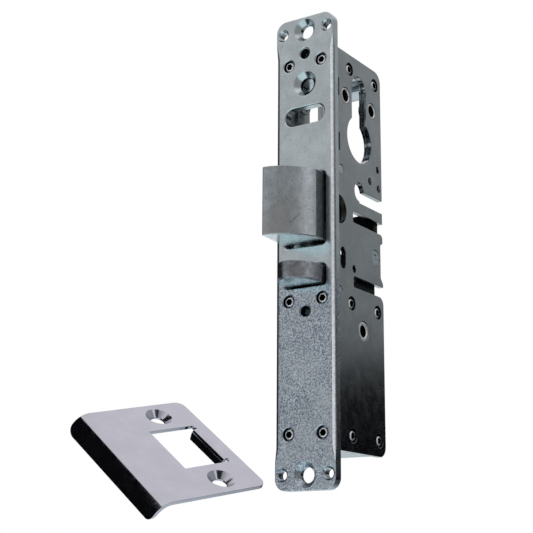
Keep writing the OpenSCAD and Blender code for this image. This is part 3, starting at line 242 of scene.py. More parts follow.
def metal(name, light, dark, patch, rough, relief=0.02, relief_size=0.3, relief_strength=0.3, specks=0.4,
          speck_tone=(0.02, 0.02, 0.02), speck_size=0.5, brushed=None, metallic=1.0, extra=None):
    """A metal with patches of two tones, fine relief, uneven gloss, dark specks and optional brushing.

    patch, relief, relief_size and speck_size are in millimetres, and rough is the range of the roughness. brushed
    holds the width of the lines in millimetres, how they stretch, their tone and their height."""
    patch, relief, relief_size, speck_size = patch * MM, relief * MM, relief_size * MM, speck_size * MM
    made = bpy.data.materials.new(name)
    made.use_nodes = True
    tree = made.node_tree
    tree.nodes.clear()
    place = node(tree, "ShaderNodeTexCoord").outputs["Object"]
    clouds = grain(tree, place, patch, 5.0, 0.6)
    colour = mixed(tree, band(tree, clouds, 0.35, 0.7), dark, light)
    gloss = band(tree, grain(tree, place, patch * 0.6, 4.0, 0.6, offset=(3.1, 1.7, 0.4)), 0.3, 0.7, *rough)
    height = grain(tree, place, relief_size, 3.0, 0.6, offset=(0.7, 2.9, 5.3))
    if brushed:
        width, stretch, tone, rise = brushed
        lines = grain(tree, place, width * MM, 3.0, 0.7, stretch=stretch)
        colour = mixed(tree, band(tree, lines, 0.42, 0.72, 0.0, tone), colour, dark)
        height = maths(tree, "ADD", height, times(tree, lines, rise))
    dots = band(tree, grain(tree, place, speck_size, 2.0, 0.5, offset=(9.2, 4.4, 1.3)), 0.68, 0.76)
    colour = mixed(tree, times(tree, dots, specks), colour, speck_tone)
    gloss = maths(tree, "ADD", gloss, times(tree, dots, 0.25))
    height = maths(tree, "SUBTRACT", height, times(tree, dots, 0.6))
    state = {"tree": tree, "place": place, "colour": colour, "gloss": gloss, "height": height}
    if extra:
        extra(state)
    bump = node(tree, "ShaderNodeBump", {"Strength": relief_strength, "Distance": relief}, {"Height": state["height"]})
    shader = node(tree, "ShaderNodeBsdfPrincipled", {"Metallic": metallic},
                  {"Base Color": state["colour"], "Roughness": state["gloss"], "Normal": bump.outputs[0]})
    node(tree, "ShaderNodeOutputMaterial", None, {"Surface": shader.outputs[0]})
    return made


# ---------------------------------------------------------------- mesh helpers

def angle_of(edge):
    return edge.calc_face_angle(0.0) if len(edge.link_faces) == 2 else 0.0


def sharp_edges(bm, angle=SHARP_ANGLE):
    return [e for e in bm.edges if angle_of(e) > angle]


def round_off(bm, edges, width, segments):
    """Rounds edges, or leaves them where there is nothing to round."""
    if edges and width > 0:
        bmesh.ops.bevel(bm, geom=edges, offset=width, offset_type="OFFSET", segments=segments, profile=0.5,
                        affect="EDGES", clamp_overlap=False, loop_slide=True, material=-1)


def finished(bm, name, body, finish, replaces=(), crease=40):
    """Makes the bmesh into a piece that rides on a body, smooth but for its creases."""
    for face in bm.faces:
        face.smooth = True
    for edge in bm.edges:
        edge.smooth = angle_of(edge) < math.radians(crease)
    mesh = bpy.data.meshes.new(name)
    bm.to_mesh(mesh)
    bm.free()
    made = bpy.data.objects.new(name, mesh)
    bpy.context.scene.collection.objects.link(made)
    mesh.materials.append(finish)
    weighted = made.modifiers.new("even_normals", "WEIGHTED_NORMAL")
    weighted.keep_sharp = True
    weighted.weight = 60
    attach(made, body)
    if replaces:
        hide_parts(*replaces)
    return made


def copy_of(cad_name):
    """A merged bmesh copy of a CAD node, with its flat faces made whole."""
    source = frame["nodes"][cad_name]
    bm = bmesh.new()
    bm.from_mesh(source.data)
    bmesh.ops.remove_doubles(bm, verts=bm.verts, dist=MERGE_GAP)
    bmesh.ops.dissolve_limit(bm, angle_limit=FLAT_ANGLE, verts=bm.verts, edges=bm.edges,
                             use_dissolve_boundaries=False)
    return bm


def dress(cad_name, finish, width, segments=2, first=(), crease=40, shaped=None, others=()):
    """A copy of a CAD node with worked edges, in the finish's own slot or another one. first holds (test, width,
    segments) for edges rounded before the rest, shaped moves points first, and others holds more finishes, each
    with a test of a face's middle and normal."""
    bm = copy_of(cad_name)
    if shaped:
        for v in bm.verts:
            v.co = shaped(v.co / MM) * MM
    for test, own_width, own_segments in first:
        picked = [e for e in sharp_edges(bm) if test(*(v.co / MM for v in e.verts))]
        round_off(bm, picked, own_width, own_segments)
    round_off(bm, sharp_edges(bm, HARD_ANGLE if first else SHARP_ANGLE), width, segments)
    bm.normal_update()
    for number, (_, test) in enumerate(others, start=1):
        for face in bm.faces:
            if test(face.calc_center_median() / MM, face.normal):
                face.material_index = number
    made = finished(bm, cad_name + "_piece", frame["nodes"][cad_name]["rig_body"], finish_for(finish),
                    (cad_name,), crease)
    for other, _ in others:
        made.data.materials.append(finish_for(other))


def both(test):
    """A test of an edge's two ends, in millimetres."""
    return lambda a, b: test(a) and test(b)


# ---------------------------------------------------------------- finishes

# the faceplate's scratches: middle (x, z), direction across and half length, in millimetres
FACE_SCRATCHES = (
    ((3.8, -33.5), (1.0, 0.0, 0.07), 7.0),
    ((0.0, -28.1), (-0.06, 0.0, 1.0), 4.2),
    ((-0.3, -42.7), (-0.09, 0.0, 1.0), 3.2),
    ((7.6, -24.6), (-0.5, 0.0, 1.0), 2.4),
)
SCRATCH_TONE = (0.12, 0.13, 0.15)


def zinc_face_marks(state):
    """The faceplate's lower half is mottled, and four fine scratches cross it."""
    tree, place = state["tree"], state["place"]
    low = band(tree, axis(tree, place, 2), -4 * MM, -22 * MM, 0.13, 1.0)
    spots = grain(tree, place, 0.6 * MM, 4.0, 0.7, offset=(2.2, 0.0, 7.1), skew=0.4)
    drift = band(tree, grain(tree, place, 14 * MM, 2.0, offset=(5.0, 0.0, 1.0)), 0.3, 0.7, 0.7, 1.0)
    marks = times(tree, times(tree, band(tree, spots, 0.43, 0.58), low), drift)
    state["colour"] = mixed(tree, marks, state["colour"], tuple(colours().zinc_dark))
    state["gloss"] = maths(tree, "ADD", state["gloss"], times(tree, marks, 0.1))
    for (x, z), across, half in FACE_SCRATCHES:
        middle = (x * MM, 0.0, z * MM)
        line = stripe(tree, place, middle, across, 0.03 * MM, 0.12 * MM)
        ends = stripe(tree, place, middle, (across[2], 0.0, -across[0]), (half - 1.0) * MM, 1.0 * MM)
        cut = times(tree, times(tree, line, ends), 0.5)
        state["colour"] = mixed(tree, cut, state["colour"], SCRATCH_TONE)
    lumps = times(tree, spots, times(tree, low, 1.6))
    state["height"] = maths(tree, "ADD", state["height"], lumps)


def casting_marks(state):
    """The latch bolt's fine pits, its film of brown stain and one long scratch."""
    tree, place = state["tree"], state["place"]
    pits = band(tree, grain(tree, place, 0.55 * MM, 4.0, 0.75, offset=(6.1, 0.9, 3.3)), 0.47, 0.62, 0.0, 0.6)
    broad = band(tree, grain(tree, place, 2.2 * MM, 2.0, 0.5, offset=(1.4, 7.7, 0.2)), 0.4, 0.65, 0.25, 1.0)
    state["colour"] = mixed(tree, times(tree, pits, broad), state["colour"], shade(colours().casting, 0.3))
    moved = vector_maths(tree, "ADD", place, (0.0, 0.0, -12.0 * MM)).outputs[0]
    below = along(tree, moved, (0.62, 0.0, -0.78))
    ragged = grain(tree, place, 3.0 * MM, 4.0, 0.6, offset=(1.1, 0.3, 2.6))
    edge = maths(tree, "ADD", below, times(tree, maths(tree, "SUBTRACT", ragged, 0.5), 3.0 * MM))
    film = band(tree, edge, -0.6 * MM, 1.0 * MM, 0.0, 0.5)
    film = times(tree, film, band(tree, axis(tree, place, 0), -1.5 * MM, 4.0 * MM, 1.0, 0.25))
    state["colour"] = mixed(tree, film, state["colour"], tuple(colours().stain))
    middle = (3.7 * MM, -15.5 * MM, 5.15 * MM)
    line = stripe(tree, place, middle, (0.8, 0.0, -0.6), 0.03 * MM, 0.09 * MM)
    ends = stripe(tree, place, middle, (0.6, 0.0, 0.8), 1.8 * MM, 0.9 * MM)
    scratch = times(tree, times(tree, line, ends), 0.8)
    state["colour"] = mixed(tree, scratch, state["colour"], (0.08, 0.08, 0.09))
    state["height"] = maths(tree, "SUBTRACT", state["height"], scratch)


def make_finishes():
    """Every finish of the deadlatch, by name."""
    c = colours()
    rolled_plate = dict(light=c.dull_zinc, dark=shade(c.dull_zinc, 0.84), patch=7, relief_size=0.35,
                        speck_tone=shade(c.dull_zinc, 0.3), speck_size=0.8,
                        brushed=(0.25, (1.0, 1.0, 14.0), 0.22, 0.3))
    recipes = {
        "zinc_plating": dict(light=c.zinc, dark=shade(c.zinc, 0.84), patch=6, rough=(0.17, 0.27), relief_size=0.5,
                             relief_strength=0.16, specks=0.5, speck_tone=shade(c.zinc_dark, 0.5), speck_size=0.7,
                             extra=zinc_face_marks),
        # painted highlight on the middle of the faceplate's right rounding: a bright finish that also stands for wear
        "worn_edge_and_painted_highlight": dict(light=(0.86, 0.85, 0.88), dark=(0.66, 0.66, 0.69), patch=0.9, rough=(0.45, 0.6),
                          metallic=0.25),
        # painted shade on the faceplate's roundings: the zinc at half its light
        "painted_shade_edge": dict(light=shade(c.zinc, 0.5), dark=shade(c.zinc, 0.34), patch=0.9, rough=(0.25, 0.4)),
        "screw_recess": dict(light=shade(c.steel, 0.9), dark=shade(c.steel, 0.4), patch=0.5, rough=(0.2, 0.4),
                             relief_strength=0.4, speck_size=0.4, metallic=0.2),
        "plain_zinc": dict(light=c.zinc, dark=shade(c.zinc, 0.8), patch=3, rough=(0.2, 0.32), relief_size=0.4,
                           relief_strength=0.2, speck_size=0.7),
        "dull_zinc_plating": dict(rolled_plate, rough=(0.11, 0.17), relief_strength=0.07),
        "soft_zinc_plating": dict(rolled_plate, rough=(0.32, 0.42), relief_strength=0.15),
        "satin_zinc_casting": dict(light=c.casting, dark=shade(c.casting, 0.82), patch=4, rough=(0.3, 0.42),
                                   relief=0.03, specks=0.85, speck_tone=shade(c.casting, 0.22), speck_size=0.75,
                                   extra=casting_marks),
        # painted shade on the latch bolt's right flat side: the casting at under half its light
        "painted_shade_casting": dict(light=shade(c.casting, 0.42), dark=shade(c.casting, 0.28), patch=2, rough=(0.3, 0.45),
                            relief=0.03, relief_strength=0.4, specks=0.5),
        # painted reflected light on the bolts' undersides, which are ground flat: a brighter casting
        "ground_underside_painted_light": dict(light=c.ground_underside_painted_light, dark=shade(c.ground_underside_painted_light, 0.86), patch=3,
                               rough=(0.2, 0.3), relief_strength=0.2),
        "dark_sintered_steel": dict(light=c.sintered, dark=shade(c.sintered, 0.6), patch=1.5, rough=(0.3, 0.48),
                                    relief=0.04, relief_size=0.22, relief_strength=0.45, specks=0.7,
                                    speck_size=0.4),
        # bright steel of the screws, pins and rods, and a painted highlight on the ends of the brass bushes
        "bright_steel": dict(light=c.steel, dark=shade(c.steel, 0.78), patch=1.5, rough=(0.2, 0.34), relief=0.01,
                             relief_size=0.2, relief_strength=0.25, specks=0.5, speck_size=0.4, metallic=0.7),
        # real blackened steel of the inner parts, and painted shade on hole walls, screw seats and the sides of studs
        "black_steel": dict(light=c.blacked_and_painted_shade, dark=shade(c.blacked_and_painted_shade, 0.45), patch=2, rough=(0.34, 0.55), specks=0.3,
                            speck_tone=(0.12, 0.12, 0.12)),
        "brass": dict(light=c.brass, dark=shade(c.brass, 0.55), patch=1.8, rough=(0.24, 0.4),
                      relief_strength=0.25, specks=0.5),
        "spring_steel": dict(light=c.spring, dark=shade(c.spring, 0.5), patch=1.2, rough=(0.2, 0.36), relief=0.01,
                             relief_size=0.15, relief_strength=0.2, speck_size=0.4),
        "polished_stainless": dict(light=c.stainless, dark=shade(c.stainless, 0.93), patch=9, rough=(0.07, 0.12),
                                   relief=0.01, relief_size=0.6, relief_strength=0.05, specks=0.15,
                                   speck_tone=shade(c.stainless, 0.5), brushed=(0.3, (12.0, 1.0, 1.0), 0.1, 0.2)),
    }
    return {name: metal(name, **recipe) for name, recipe in recipes.items()}


FINISHES = {}


def finish_for(name):
    """A finish, made the first time that it is asked for."""
    if not FINISHES:
        FINISHES.update(make_finishes())
    return FINISHES[name]


# ---------------------------------------------------------------- pieces

class DeadlatchPiece:
    """What every operator of the pieces shares."""

    bl_options = {"REGISTER", "UNDO"}


# places on the lock, in millimetres
FACE_Y = -3.5
FACE_CORNER = 4.0
SCREW_LEVELS = (67.5, -20.4, -66.5)
FACE_SCREWS = [(x, z) for x in (-6.75, 6.75) for z in SCREW_LEVELS]
SIDE_SCREWS = [(y, z) for y in (10.8, 29.4) for z in SCREW_LEVELS]
TAPPED_HOLES = [(0, 71.1), (0, -24.4)]
CYLINDER_SCREW_Z = 59.4

# the faceplate's front edge is rounded a little at its ends. At its sides it is rounded widely, in full up to the
# first height and no more at the second
END_EDGE = 0.24
SIDE_EDGE_FULL, SIDE_EDGE_GONE = 71, 76
# the faceplate's finishes: zinc, black steel as painted shade, the bright finish as painted highlight, darkened zinc
# as painted shade
FACE_FINISHES = ("zinc_plating", "black_steel", "worn_edge_and_painted_highlight", "painted_shade_edge")

# radii of the screw heads as they are drawn, of the solids' heads at least, and of the recesses at most
FACE_HEAD, SIDE_HEAD = 1.78, 1.72
SOLID_HEAD = 1.9
RECESS = 1.6

LATCH_TRAVEL, AUX_TRAVEL = 16, 10.5
CORNER_STEPS = 9
CIRCLE_STEPS = 48
TURN_STEPS = 26
WIRE_STEPS = 12


def from_nearest(places, first, second):
    """Distance to the nearest of some places."""
    return min(math.hypot(first - a, second - b) for a, b in places)


def upright(bm, verts, centre, y):
    """Turns a flat outline into the faceplate's plane and sets it at its place, in millimetres."""
    bmesh.ops.rotate(bm, verts=verts, cent=(0, 0, 0), matrix=Matrix.Rotation(math.radians(90), 3, "X"))
    bmesh.ops.translate(bm, verts=verts, vec=(centre[0] * MM, y * MM, centre[1] * MM))


def round_ring(bm, centre, radius, y):
    """A circle's edges at depth y."""
    made = bmesh.ops.create_circle(bm, cap_ends=False, radius=radius * MM, segments=CIRCLE_STEPS)["verts"]
    upright(bm, made, centre, y)
    return list({e for v in made for e in v.link_edges})


def box_ring(bm, centre, wide, tall, radius, y):
    """A rounded rectangle's edges at depth y."""
    known = set(bm.verts)
    corners = bmesh.ops.create_grid(bm, x_segments=1, y_segments=1, size=0.5)["verts"]
    bmesh.ops.scale(bm, vec=(wide * MM, tall * MM, 1.0), verts=corners)
    bmesh.ops.bevel(bm, geom=corners, offset=radius * MM, offset_type="OFFSET", segments=CORNER_STEPS, profile=0.5,
                    affect="VERTICES", clamp_overlap=False, material=-1)
    made = [v for v in bm.verts if v not in known]
    bmesh.ops.delete(bm, geom=list({f for v in made for f in v.link_faces}), context="FACES_ONLY")
    upright(bm, made, centre, y)
    return list({e for v in made for e in v.link_edges})


def stack(bm, rings, hole=True):
    """Joins rings to each other in turn. The faces look at the middle of a hole, and away from the middle of
    anything else. No two neighbours may lie in one plane, as they could be joined crosswise."""
    made = []
    for first, second in zip(rings, rings[1:]):
        made += bmesh.ops.bridge_loops(bm, edges=first + second)["faces"]
    bmesh.ops.recalc_face_normals(bm, faces=made)
    points = {v for e in rings[-1] for v in e.verts}
    middle = sum((v.co for v in points), Vector()) / len(points)
    wall = made[-1]
    if ((middle - wall.calc_center_median()).dot(wall.normal) > 0) != hole:
        bmesh.ops.reverse_faces(bm, faces=made)


def quarter(width, steps):
    """Offsets and depths of a rounded edge, from the flat face to the wall."""
    turns = [math.radians(90 * i / steps) for i in range(steps + 1)]
    return [(width * (1 - math.sin(t)), width * (1 - math.cos(t))) for t in turns]


ROLL = ((1.0, 0.0), (0.78, 0.035), (0.56, 0.1), (0.37, 0.2), (0.2, 0.35), (0.07, 0.6), (0.0, 0.95))


def roll(width):
    """Offsets and depths of an edge that the punch has pulled down: shallow at first, then steep."""
    return [(width * back, width * down) for back, down in ROLL]


def round_hole(bm, centre, profile, edge):
    """A hole whose profile is radii and depths from the front, its first edge rounded."""
    first = profile[0][0]
    rings = [round_ring(bm, centre, first + out, FACE_Y + down) for out, down in quarter(edge, 3)]
    rings += [round_ring(bm, centre, radius, y) for radius, y in profile[1:]]
    stack(bm, rings)


def box_hole(bm, centre, wide, tall, radius, edge):
    """A rounded rectangular opening with that edge, as offsets and depths."""
    rings = [box_ring(bm, centre, wide + 2 * out, tall + 2 * out, radius + out, FACE_Y + down)
             for out, down in edge]
    rings.append(box_ring(bm, centre, wide, tall, radius, 0.0))
    stack(bm, rings)


def thread(radius, start, end, pitch=0.7, deep=0.22):
    """Profile of a tapped hole: crests and roots in turn."""
    count = int((end - start) / pitch * 2)
    return [(radius - deep * (i % 2), start + (end - start) * i / count) for i in range(count + 1)]


class DEADLATCH_OT_faceplate(DeadlatchPiece, bpy.types.Operator):
    """The zinc plated faceplate with rounded edges and openings rolled over by the punch"""

    bl_idname = "deadlatch.faceplate"
    bl_label = "Faceplate"

    @staticmethod
    def rim(bm, wide, tall, side_edge):
        """The outer edge, without the flat front and back."""
        rings = [box_ring(bm, (0, 0), wide - 2 * back, tall - 2 * back, FACE_CORNER - back, FACE_Y + down)
                 for back, down in roll(END_EDGE)]
        rings.append(box_ring(bm, (0, 0), wide, tall, FACE_CORNER, 0.0))
        stack(bm, rings, hole=False)
        for level in (-SIDE_EDGE_GONE, -SIDE_EDGE_FULL, SIDE_EDGE_FULL, SIDE_EDGE_GONE):
            bmesh.ops.bisect_plane(bm, geom=bm.verts[:] + bm.edges[:] + bm.faces[:], dist=1e-8,
                                   plane_co=(0, 0, level * MM), plane_no=(0, 0, 1))
        share = side_edge / END_EDGE
        for v in bm.verts:
            if abs(v.co.z) < (SIDE_EDGE_FULL + 0.5) * MM and v.co.y < (FACE_Y + END_EDGE + 0.01) * MM:
                corner_x = math.copysign(wide / 2 * MM, v.co.x)
                v.co.x = corner_x + (v.co.x - corner_x) * share
                v.co.y = FACE_Y * MM + (v.co.y - FACE_Y * MM) * share

    @staticmethod
    def holes(bm, hole_edge, rolled):
        """The walls of the holes and openings."""
        for z in (-80.25, 80.25):
            round_hole(bm, (0, z), [(4.25, FACE_Y), (2.7, FACE_Y + 1.8), (2.7, 0.0)], hole_edge * 0.7)
        for x in (-9.2, 9.2):
            for z in (-80.1, 80.1):
                round_hole(bm, (x, z), [(2.3, FACE_Y), (1.7, FACE_Y + 0.7), (1.7, 0.0)], hole_edge * 0.4)
        for place in TAPPED_HOLES:
            round_hole(bm, place, [(2.2, FACE_Y)] + thread(2.0, FACE_Y + 0.45, -0.05) + [(2.0, 0.0)], hole_edge)
        round_hole(bm, (0, CYLINDER_SCREW_Z), [(4.5, FACE_Y), (2.8, FACE_Y + 1.9), (2.8, 0.0)], hole_edge)
        for place in FACE_SCREWS:
            round_hole(bm, place, [(2.25, FACE_Y), (2.25, -1.2), (1.48, -1.1), (1.48, 0.0)], hole_edge * 1.2)
        box_hole(bm, (0, 47.3), 16.5, 6.6, 3.29, quarter(hole_edge * 1.3, 4))
        box_hole(bm, (0, 11.85), 16.8, 26.1, 1.6, roll(rolled))
        box_hole(bm, (0, -12.3), 16.8, 7.2, 1.6, roll(rolled))

    @staticmethod
    def flats(bm):
        """The front and the back round the holes, filled at a size that the filling can tell apart."""
        bmesh.ops.scale(bm, vec=(1 / MM, 1 / MM, 1 / MM), verts=bm.verts)
        for level in (FACE_Y, 0.0):
            open_edges = [e for e in bm.edges if len(e.link_faces) == 1
                          and all(abs(v.co.y - level) < 1e-3 for v in e.verts)]
            bmesh.ops.triangle_fill(bm, use_beauty=True, use_dissolve=False, edges=open_edges,
                                    normal=(0.0, -1.0 if level else 1.0, 0.0))
        bmesh.ops.scale(bm, vec=(MM, MM, MM), verts=bm.verts)
        bm.normal_update()

    @staticmethod
    def finish_at(at, normal, wide, side_edge):
        """The finish of a face, from its middle in millimetres and its normal. Threads, the cylinder screw's bore and
        the screw seats get black steel as painted shade; the right rounding's middle gets a bright finish as a painted
        highlight that also stands for wear, and the right rounding's steep part and the left rounding get darkened
        zinc as painted shade.
        """
        shaded_thread = at.y > FACE_Y + 0.45 and from_nearest(TAPPED_HOLES, at.x, at.z) < 2.05
        shaded_screw_hole = at.y > FACE_Y + 2 and math.hypot(at.x, at.z - CYLINDER_SCREW_Z) < 2.85
        shaded_seat = FACE_Y + 0.49 < at.y < -1.3 and from_nearest(FACE_SCREWS, at.x, at.z) < 2.3
        on_side = abs(at.z) < SIDE_EDGE_GONE and at.y < FACE_Y + side_edge and abs(at.x) > wide / 2 - side_edge
        # painted shade: the threads, the cylinder screw's bore and the screw seats get black steel
        if shaded_thread or shaded_screw_hole or shaded_seat:
            return "black_steel"
        # painted highlight: the middle of the right rounding gets the bright finish, which also stands for wear
        if on_side and 0.2 < normal.x < 0.8:
            return "worn_edge_and_painted_highlight"
        # painted shade: the steep right of the right rounding and the left rounding get the darkened zinc
        if on_side and (normal.x > 0.8 or normal.x < -0.1):
            return "painted_shade_edge"
        return "zinc_plating"

    def execute(self, context):
        s = sizes()
        low, high = (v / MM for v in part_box("faceplate"))
        wide, side_edge = high.x - low.x, s.face_edge / MM
        bm = bmesh.new()
        self.rim(bm, wide, high.z - low.z, side_edge)
        self.holes(bm, s.hole_edge / MM, s.rolled_edge / MM)
        self.flats(bm)
        for face in bm.faces:
            finish = self.finish_at(face.calc_center_median() / MM, face.normal, wide, side_edge)
            face.material_index = FACE_FINISHES.index(finish)
        made = finished(bm, "faceplate_piece", frame["nodes"]["faceplate"]["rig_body"],
                        finish_for("zinc_plating"), ("faceplate",), 35)
        for other in FACE_FINISHES[1:]:
            made.data.materials.append(finish_for(other))
        return {"FINISHED"}


class DEADLATCH_OT_side_plates(DeadlatchPiece, bpy.types.Operator):
    """The two side plates and the thin cylinder guides inside them"""

    bl_idname = "deadlatch.side_plates"
    bl_label = "Side plates"

    @staticmethod
    def shaded_screw_seat(at, normal):
        """The wall of a hole that holds a screw's head, which gets black steel as painted shade."""
        return abs(normal.x) < 0.6 and from_nearest(SIDE_SCREWS, at.y, at.z) < 2.6

    def execute(self, context):
        for name, finish in (("side_plate_right", "dull_zinc_plating"), ("side_plate_left", "soft_zinc_plating")):
            dress(name, finish, sizes().plate_edge,
                  others=(("black_steel", self.shaded_screw_seat),))
        for name in ("cylinder_guide_right", "cylinder_guide_left"):
            dress(name, "dull_zinc_plating", sizes().part_edge * 0.6)
        return {"FINISHED"}


class DEADLATCH_OT_spacers(DeadlatchPiece, bpy.types.Operator):
    """The blocks and the post that hold the side plates apart"""

    bl_idname = "deadlatch.spacers"
    bl_label = "Spacers"

    def execute(self, context):
        # painted shade: the cylinder screw's bore gets black steel
        shaded_bore = ("black_steel", lambda at, n: math.hypot(at.x, at.z - CYLINDER_SCREW_Z) < 3.2)
        for name in ("spacer_top", "spacer_middle", "spacer_rear", "spacer_bottom"):
            dress(name, "plain_zinc", sizes().part_edge, others=(shaded_bore,))
        return {"FINISHED"}


def narrowed(first, second, places, radius):
    """A head's rim, drawn in so that a dark ring shows round it."""
    x, z = min(places, key=lambda at: math.hypot(first - at[0], second - at[1]))
    away = math.hypot(first - x, second - z)
    share = radius / away if away > SOLID_HEAD else 1.0
    return x + (first - x) * share, z + (second - z) * share


def face_head(p):
    """A point of a faceplate screw, in its new place."""
    x, z = narrowed(p.x, p.z, FACE_SCREWS, FACE_HEAD)
    return Vector((x, p.y, z))


def side_head(p):
    """A point of a side plate's screw, in its new place."""
    y, z = narrowed(p.y, p.z, SIDE_SCREWS, SIDE_HEAD)
    return Vector((p.x, y, z))


class DEADLATCH_OT_screws(DeadlatchPiece, bpy.types.Operator):
    """The six lobed screws in the faceplate and in both side plates"""

    bl_idname = "deadlatch.screws"
    bl_label = "Screws"

    def execute(self, context):
        s = sizes()
        front = both(lambda p: p.y < -2.75 and from_nearest(FACE_SCREWS, p.x, p.z) > RECESS)
        dress("faceplate_screws", "bright_steel", s.screw_edge, first=((front, s.screw_crown, 4),),
              shaped=face_head, others=(("screw_recess", lambda at, n: n.y < -0.9 and -2.2 < at.y < -1.9),))
        outer = both(lambda p: abs(p.x) > 10.2 and from_nearest(SIDE_SCREWS, p.y, p.z) > RECESS)
        for name in ("side_screws_right", "side_screws_left"):
            dress(name, "bright_steel", s.screw_edge, first=((outer, s.screw_crown, 4),), shaped=side_head,
                  others=(("screw_recess", lambda at, n: abs(n.x) > 0.9 and 9.6 < abs(at.x) < 10.3),))
        return {"FINISHED"}


class DEADLATCH_OT_fittings(DeadlatchPiece, bpy.types.Operator):
    """The brass bushes, the riveted studs and the pins that end in the side plates"""

    bl_idname = "deadlatch.fittings"
    bl_label = "Bushes, studs and pins"

    def execute(self, context):
        s = sizes()
        for name in ("furniture_bushes_right", "furniture_bushes_left", "lever_pivot_bush"):
            # painted highlight: the ends of the brass bushes get bright steel, drawing a bright ring
            dress(name, "brass", s.bush_edge, 3, others=(("bright_steel", lambda at, n: abs(n.x) > 0.25),))
        for name in ("latch_guide_studs", "aux_guide_pin"):
            # painted shade: the sides of the studs and of the pin get black steel, drawing a dark ring in the side
            # plates
            dress(name, "plain_zinc", s.part_edge * 1.6, 3,
                  others=(("black_steel", lambda at, n: abs(n.x) < 0.2),))
        return {"FINISHED"}


class DEADLATCH_OT_latch(DeadlatchPiece, bpy.types.Operator):
    """The cast latch bolt with its nose facet, its pin and the buttons on its sides"""

    bl_idname = "deadlatch.latch"
    bl_label = "Latch bolt"

    def execute(self, context):
        s = sizes()
        nose = both(lambda p: p.y < -18.0 and p.x < -6.0 and abs(p.x + 7.9) < 1.9)
        under = both(lambda p: p.y < -1.0 and p.z < 0.5)
        top = both(lambda p: p.y < -1.0 and p.z > 23)
        # painted light on the latch bolt: its undersides get a brighter finish as painted reflected light, its right
        # flat side darkened casting as painted shade
        dress("latch_bolt", "satin_zinc_casting", s.part_edge, crease=13,
              first=((nose, s.latch_nose, 1), (under, s.latch_low_edge, 4), (top, s.latch_edge, 4)),
              others=(("ground_underside_painted_light", lambda at, n: n.z < -0.9), ("painted_shade_casting", lambda at, n: n.x > 0.97)))
        dress("latch_pin", "bright_steel", s.part_edge)
        dress("latch_buttons", "brass", s.part_edge)
        return {"FINISHED"}


class DEADLATCH_OT_retractor(DeadlatchPiece, bpy.types.Operator):
    """The lever that draws the latch bolt back, with its two spacer rings"""

    bl_idname = "deadlatch.retractor"
    bl_label = "Retractor lever"

    def execute(self, context):
        dress("retractor_lever", "black_steel", sizes().part_edge)
        dress("lever_spacers", "dull_zinc_plating", sizes().part_edge)
        return {"FINISHED"}


class DEADLATCH_OT_auxiliary(DeadlatchPiece, bpy.types.Operator):
    """The sintered auxiliary bolt and the tail plate behind it"""

    bl_idname = "deadlatch.auxiliary"
    bl_label = "Auxiliary bolt"

    def execute(self, context):
        s = sizes()
        under = both(lambda p: p.y < -2.0 and p.z < -15.2)
        top = both(lambda p: p.y < -2.0 and p.z > -9.4)
        # the undersides get a brighter finish as painted reflected light
        dress("aux_bolt", "dark_sintered_steel", s.part_edge, first=((under, s.aux_edge, 1), (top, s.latch_edge, 3)),
              others=(("ground_underside_painted_light", lambda at, n: n.z < -0.9),))
        dress("aux_tail", "dull_zinc_plating", s.part_edge)
        return {"FINISHED"}


class DEADLATCH_OT_deadlock(DeadlatchPiece, bpy.types.Operator):
    """The blackened deadlock lever on its pivot"""

    bl_idname = "deadlatch.deadlock"
    bl_label = "Deadlock lever"

    def execute(self, context):
        for name in ("deadlock_plate_outer", "deadlock_plate_inner", "deadlock_clip"):
            dress(name, "black_steel", sizes().part_edge)
        for name in ("deadlock_pivot", "deadlock_pin", "deadlock_spacer"):
            dress(name, "plain_zinc", sizes().part_edge)
        return {"FINISHED"}


def wound_spring(name, middle_x, middle_z, front, rear, wire, coil, turns):
    """A round wire wound from front to rear, its end turns closed up."""
    span = rear - front - wire
    bm = bmesh.new()
    bmesh.ops.create_circle(bm, cap_ends=True, radius=wire / 2, segments=WIRE_STEPS)
    bmesh.ops.rotate(bm, verts=bm.verts, cent=(0, 0, 0), matrix=Matrix.Rotation(math.radians(180), 3, "Y"))
    bmesh.ops.translate(bm, verts=bm.verts, vec=(middle_x + coil / 2, front + wire / 2, middle_z))
    moving = list(bm.verts) + list(bm.edges) + list(bm.faces)
    for share, rise in ((1.0, wire), (turns - 2.0, span - 2 * wire), (1.0, wire)):
        count = int(TURN_STEPS * share)
        step = (0.0, rise / count, 0.0)
        made = bmesh.ops.spin(bm, geom=moving, cent=(middle_x, 0.0, middle_z), axis=(0.0, 1.0, 0.0), dvec=step,
                              angle=2 * math.pi * share, steps=count, use_merge=False, use_duplicate=False)
        moving = made["geom_last"]
    bmesh.ops.remove_doubles(bm, verts=bm.verts, dist=1e-7)
    bmesh.ops.recalc_face_normals(bm, faces=bm.faces)
    return finished(bm, name + "_piece", frame["nodes"][name]["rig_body"], finish_for("spring_steel"),
                    (name,), 60)


class DEADLATCH_OT_springs(DeadlatchPiece, bpy.types.Operator):
    """The two springs of round wire with their rods and seats"""

    bl_idname = "deadlatch.springs"
    bl_label = "Springs"

    def execute(self, context):
        s = sizes()
        for name, joint, travel, wire, coil, turns in (
                ("latch_spring", "latch_slide", LATCH_TRAVEL * MM, s.latch_wire, s.latch_coil, s.latch_turns),
                ("aux_spring", "aux_slide", AUX_TRAVEL * MM, s.aux_wire, s.aux_coil, s.aux_turns)):
            low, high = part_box(name)
            made = wound_spring(name, (low.x + high.x) / 2, (low.z + high.z) / 2, low.y, high.y, wire, coil, turns)
            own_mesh(made)
        for name in ("latch_spring_rod", "aux_spring_rod"):
            dress(name, "bright_steel", s.part_edge)
        for name in ("latch_spring_seat", "aux_spring_seat"):
            dress(name, "black_steel", s.part_edge)
        return {"FINISHED"}


